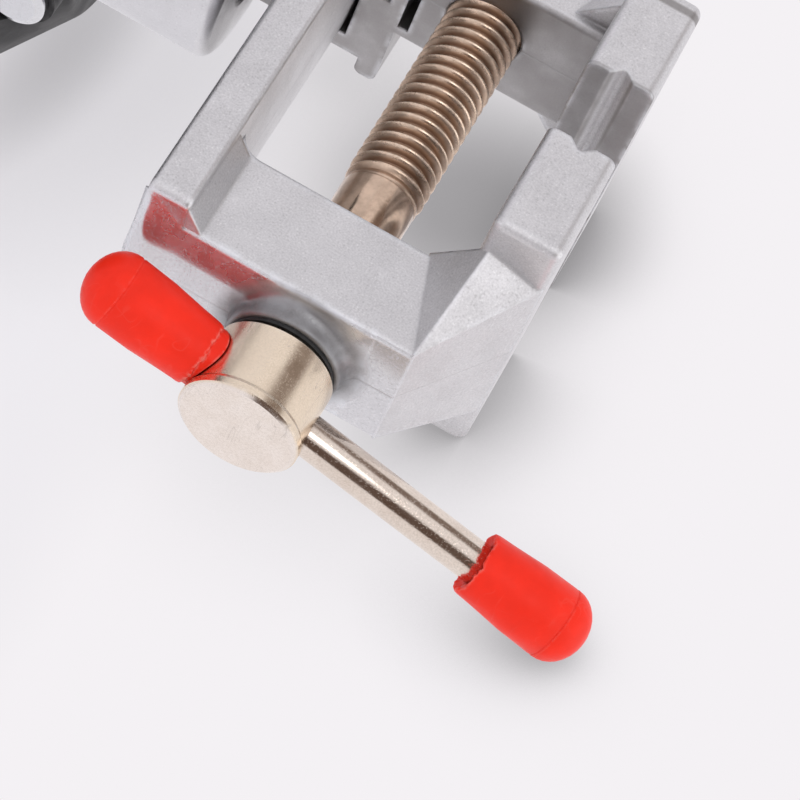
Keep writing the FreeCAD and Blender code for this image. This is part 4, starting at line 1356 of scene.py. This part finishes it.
@dataclass
class Studio:
    """Floor, background, soft lamps and the camera. Its sizes are in metres."""

    eye: Point = (-0.42316, -0.33795, 0.11126)
    right: Point = (-0.24978, 0.42340, 0.87083)
    up: Point = (-0.49265, 0.71868, -0.49072)
    back: Point = (-0.83361, -0.55158, 0.02908)
    lens: float = 168.837
    sky: float = 0.86
    sky_colour: Colour = (0.98, 0.985, 1.0)
    aim: Point = (0, -0.02, 0.07)
    softboxes: tuple[Softbox, ...] = (
        Softbox("near_softbox", (-0.8, -0.4, 0.35), 0.36, 0.6),
        Softbox("top_softbox", (-0.1, -0.2, 1.0), 1.0, 1.6),
    )
    dim_wall: Colour = (0.12, 0.08, 0.065)
    dim_corner: Colour = (0.22, 0.17, 0.15)
    corner_way: Point = (-0.68, 0.50, 0.53)
    corner_near: tuple[float, float] = (0.93, 0.985)
    wall_start: tuple[float, float] = (0.03, -0.1)
    wall_end: tuple[float, float] = (-0.72, -0.6)
    wall_side: tuple[float, float] = (-0.4, -0.6)
    floor_half: float = 20.0
    floor_fade: tuple[float, float] = (0.25, 0.9)
    sheet_half: float = 0.45
    sheet_slope: float = 0.2315
    sheet_at: Point = (0.026976, 0, 0.1)
    shade_near: float = 0.018
    near_dims: float = 0.5
    shade_wide: float = 0.045
    wide_dims: float = 0.21
    # Place, reach, core and depth of a painted shadow spot on the sheet.
    shadow_spot: Point = (0.0293, -0.002, 0.0895)
    pool_reach: float = 0.033
    pool_core: float = 0.13
    pool_dims: float = 0.5
    shade_low: float = 0.002
    shade_full: float = 0.03

    def camera(self) -> None:
        """Camera at its own place and turn."""
        data = bpy.data.cameras.new("studio_camera")
        data.lens, data.sensor_width = self.lens, 36.0
        data.clip_start, data.clip_end = 0.01, 50.0
        made = bpy.data.objects.new("studio_camera", data)
        turn = Matrix([Vector(v) for v in (self.right, self.up, self.back)]).transposed().to_4x4()
        made.matrix_world = Matrix.Translation(self.eye) @ turn
        bpy.context.scene.collection.objects.link(made)
        bpy.context.scene.camera = made

    def mirrored(self, tree: Tree) -> bpy.types.NodeSocket:
        """Colour that polished metal sees each way: pale, with one dim wall and one dim corner.

        Args:
            tree: The world's tree.

        Returns:
            The colour.
        """
        way = tree.node("TexCoord").outputs["Object"]
        x, y, _ = tree.split(way)
        limits = ((x, self.wall_start), (x, self.wall_end), (y, self.wall_side))
        wall = tree.product(*(tree.span(value, *ends) for value, ends in limits))
        corner = Vector(self.corner_way).normalized()
        both = {0: way, 1: corner}
        lined_up = tree.node("VectorMath", both, operation="DOT_PRODUCT").outputs["Value"]
        seen = tree.mix(wall, rgba(BACKDROP_COLOUR), rgba(self.dim_wall))
        return tree.mix(tree.span(lined_up, *self.corner_near), seen, rgba(self.dim_corner))

    def light(self) -> None:
        """Even sky and two soft lamps."""
        world = bpy.data.worlds.new("studio")
        bpy.context.scene.world = world
        world.use_nodes = True
        world.node_tree.nodes.clear()
        tree = Tree(world.node_tree)
        path = tree.node("LightPath").outputs
        sky = tree.node("Background", {"Color": rgba(self.sky_colour), "Strength": self.sky})
        gloss = tree.node("Background", {"Color": self.mirrored(tree), "Strength": 1.0})
        pale = tree.node("Background", {"Color": rgba(BACKDROP_COLOUR), "Strength": 1.0})
        glossy, lit = path["Is Glossy Ray"], sky.outputs[0]
        both = tree.node("MixShader", {0: glossy, 1: lit, 2: gloss.outputs[0]})
        direct = tree.math("MAXIMUM", path["Is Camera Ray"], path["Is Transmission Ray"])
        both = tree.node("MixShader", {0: direct, 1: both.outputs[0], 2: pale.outputs[0]})
        tree.node("OutputWorld", {"Surface": both.outputs[0]})
        for lamp in self.softboxes:
            data = bpy.data.lights.new(lamp.name, "AREA")
            data.shape, data.size, data.energy = "DISK", lamp.size, lamp.watts
            made = bpy.data.objects.new(lamp.name, data)
            made.location = lamp.at
            made.rotation_mode = "QUATERNION"
            made.rotation_quaternion = (Vector(self.aim) - Vector(lamp.at)).to_track_quat("-Z", "Y")
            bpy.context.scene.collection.objects.link(made)

    @staticmethod
    def sheet(name: str, size: float, place: Matrix) -> Tree:
        """Flat stage piece with an empty material.

        Args:
            name: Name of the piece and its material.
            size: Half its side.
            place: Where it goes.

        Returns:
            Its material's tree.
        """
        mesh = bmesh.new()
        bmesh.ops.create_grid(mesh, x_segments=1, y_segments=1, size=size)
        bmesh.ops.transform(mesh, matrix=place, verts=mesh.verts)
        data = bpy.data.meshes.new(name)
        mesh.to_mesh(data)
        mesh.free()
        made = bpy.data.objects.new(name, data)
        bpy.context.scene.collection.objects.link(made)
        paint = bpy.data.materials.new(name)
        paint.use_nodes = True
        paint.node_tree.nodes.clear()
        data.materials.append(paint)
        return Tree(paint.node_tree)

    def floor(self) -> None:
        """Wide pale floor that runs into the background far away."""
        tree = self.sheet("pale_floor", self.floor_half, Matrix())
        where = tree.node("TexCoord").outputs["Object"]
        reach = tree.node("VectorMath", {0: where}, operation="LENGTH").outputs["Value"]
        path = tree.node("LightPath").outputs
        seen = tree.math("MAXIMUM", path["Is Camera Ray"], path["Is Glossy Ray"])
        near = tree.node("BsdfDiffuse", {"Color": rgba(BACKDROP_COLOUR)})
        away = tree.node("Emission", {"Color": rgba(BACKDROP_COLOUR), "Strength": 1.0})
        fade = tree.product(tree.span(reach, *self.floor_fade), seen)
        both = tree.node("MixShader", {0: fade, 1: near.outputs[0], 2: away.outputs[0]})
        tree.node("OutputMaterial", {"Surface": both.outputs[0]})

    def contact_shade(self) -> None:
        """Clear sheet beside the vise that paints shade where the vise comes near it, and a painted
        shadow spot.
        """
        turn = Matrix.Rotation(-math.pi / 2 - math.atan(self.sheet_slope), 4, "Y")
        place = Matrix.Translation(self.sheet_at) @ turn
        tree = self.sheet("contact_shade", self.sheet_half, place)
        near, wide = (
            tree.node("AmbientOcclusion", {"Distance": reach}, samples=24).outputs["AO"]
            for reach in (self.shade_near, self.shade_wide)
        )
        light = tree.lowered(tree.span(wide, 0.2, 0.85), self.wide_dims)
        light = tree.product(light, tree.lowered(tree.span(near, 0.2, 1.0), self.near_dims))
        where = tree.node("TexCoord").outputs["Object"]
        # Painted shadow: a soft dark spot at a fixed place, where the fixed jaw casts its shadow on
        # the sheet.
        ends = {0: where, 1: self.shadow_spot}
        apart = tree.node("VectorMath", ends, operation="DISTANCE").outputs["Value"]
        shadow_spot = tree.span(apart, self.pool_reach, self.pool_core * self.pool_reach)
        light = tree.product(light, tree.math("MULTIPLY_ADD", shadow_spot, -self.pool_dims, 1.0))
        height = tree.split(where)[2]
        light = tree.blend(tree.span(height, self.shade_low, self.shade_full), 1.0, light)
        shadow = tree.mix(light, BLACK, WHITE)
        behind = tree.node("NewGeometry").outputs["Backfacing"]
        camera = tree.node("LightPath").outputs["Is Camera Ray"]
        off = tree.math("MAXIMUM", behind, tree.math("SUBTRACT", 1.0, camera))
        clear = tree.node("BsdfTransparent", {"Color": tree.mix(off, shadow, WHITE)})
        tree.node("OutputMaterial", {"Surface": clear.outputs[0]})

    def build(self) -> None:
        """Everything round the object."""
        bpy.context.scene.view_settings.view_transform = "Standard"
        self.camera()
        self.light()
        self.floor()
        self.contact_shade()


def corners(box: Iterable[Vector]) -> list[list[float]]:
    """Box as plain lists of numbers."""
    return [[float(x) for x in corner] for corner in box]


def main() -> None:
    """Build the vise in its studio."""
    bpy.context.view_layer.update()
    effects = Effects()
    Studio().build()
    for assembly in (Castings, LeadScrew, Handle, BallJoint, Foot):
        assembly(effects).build()
    bpy.context.view_layer.update()


if __name__ == "__main__":
    main()
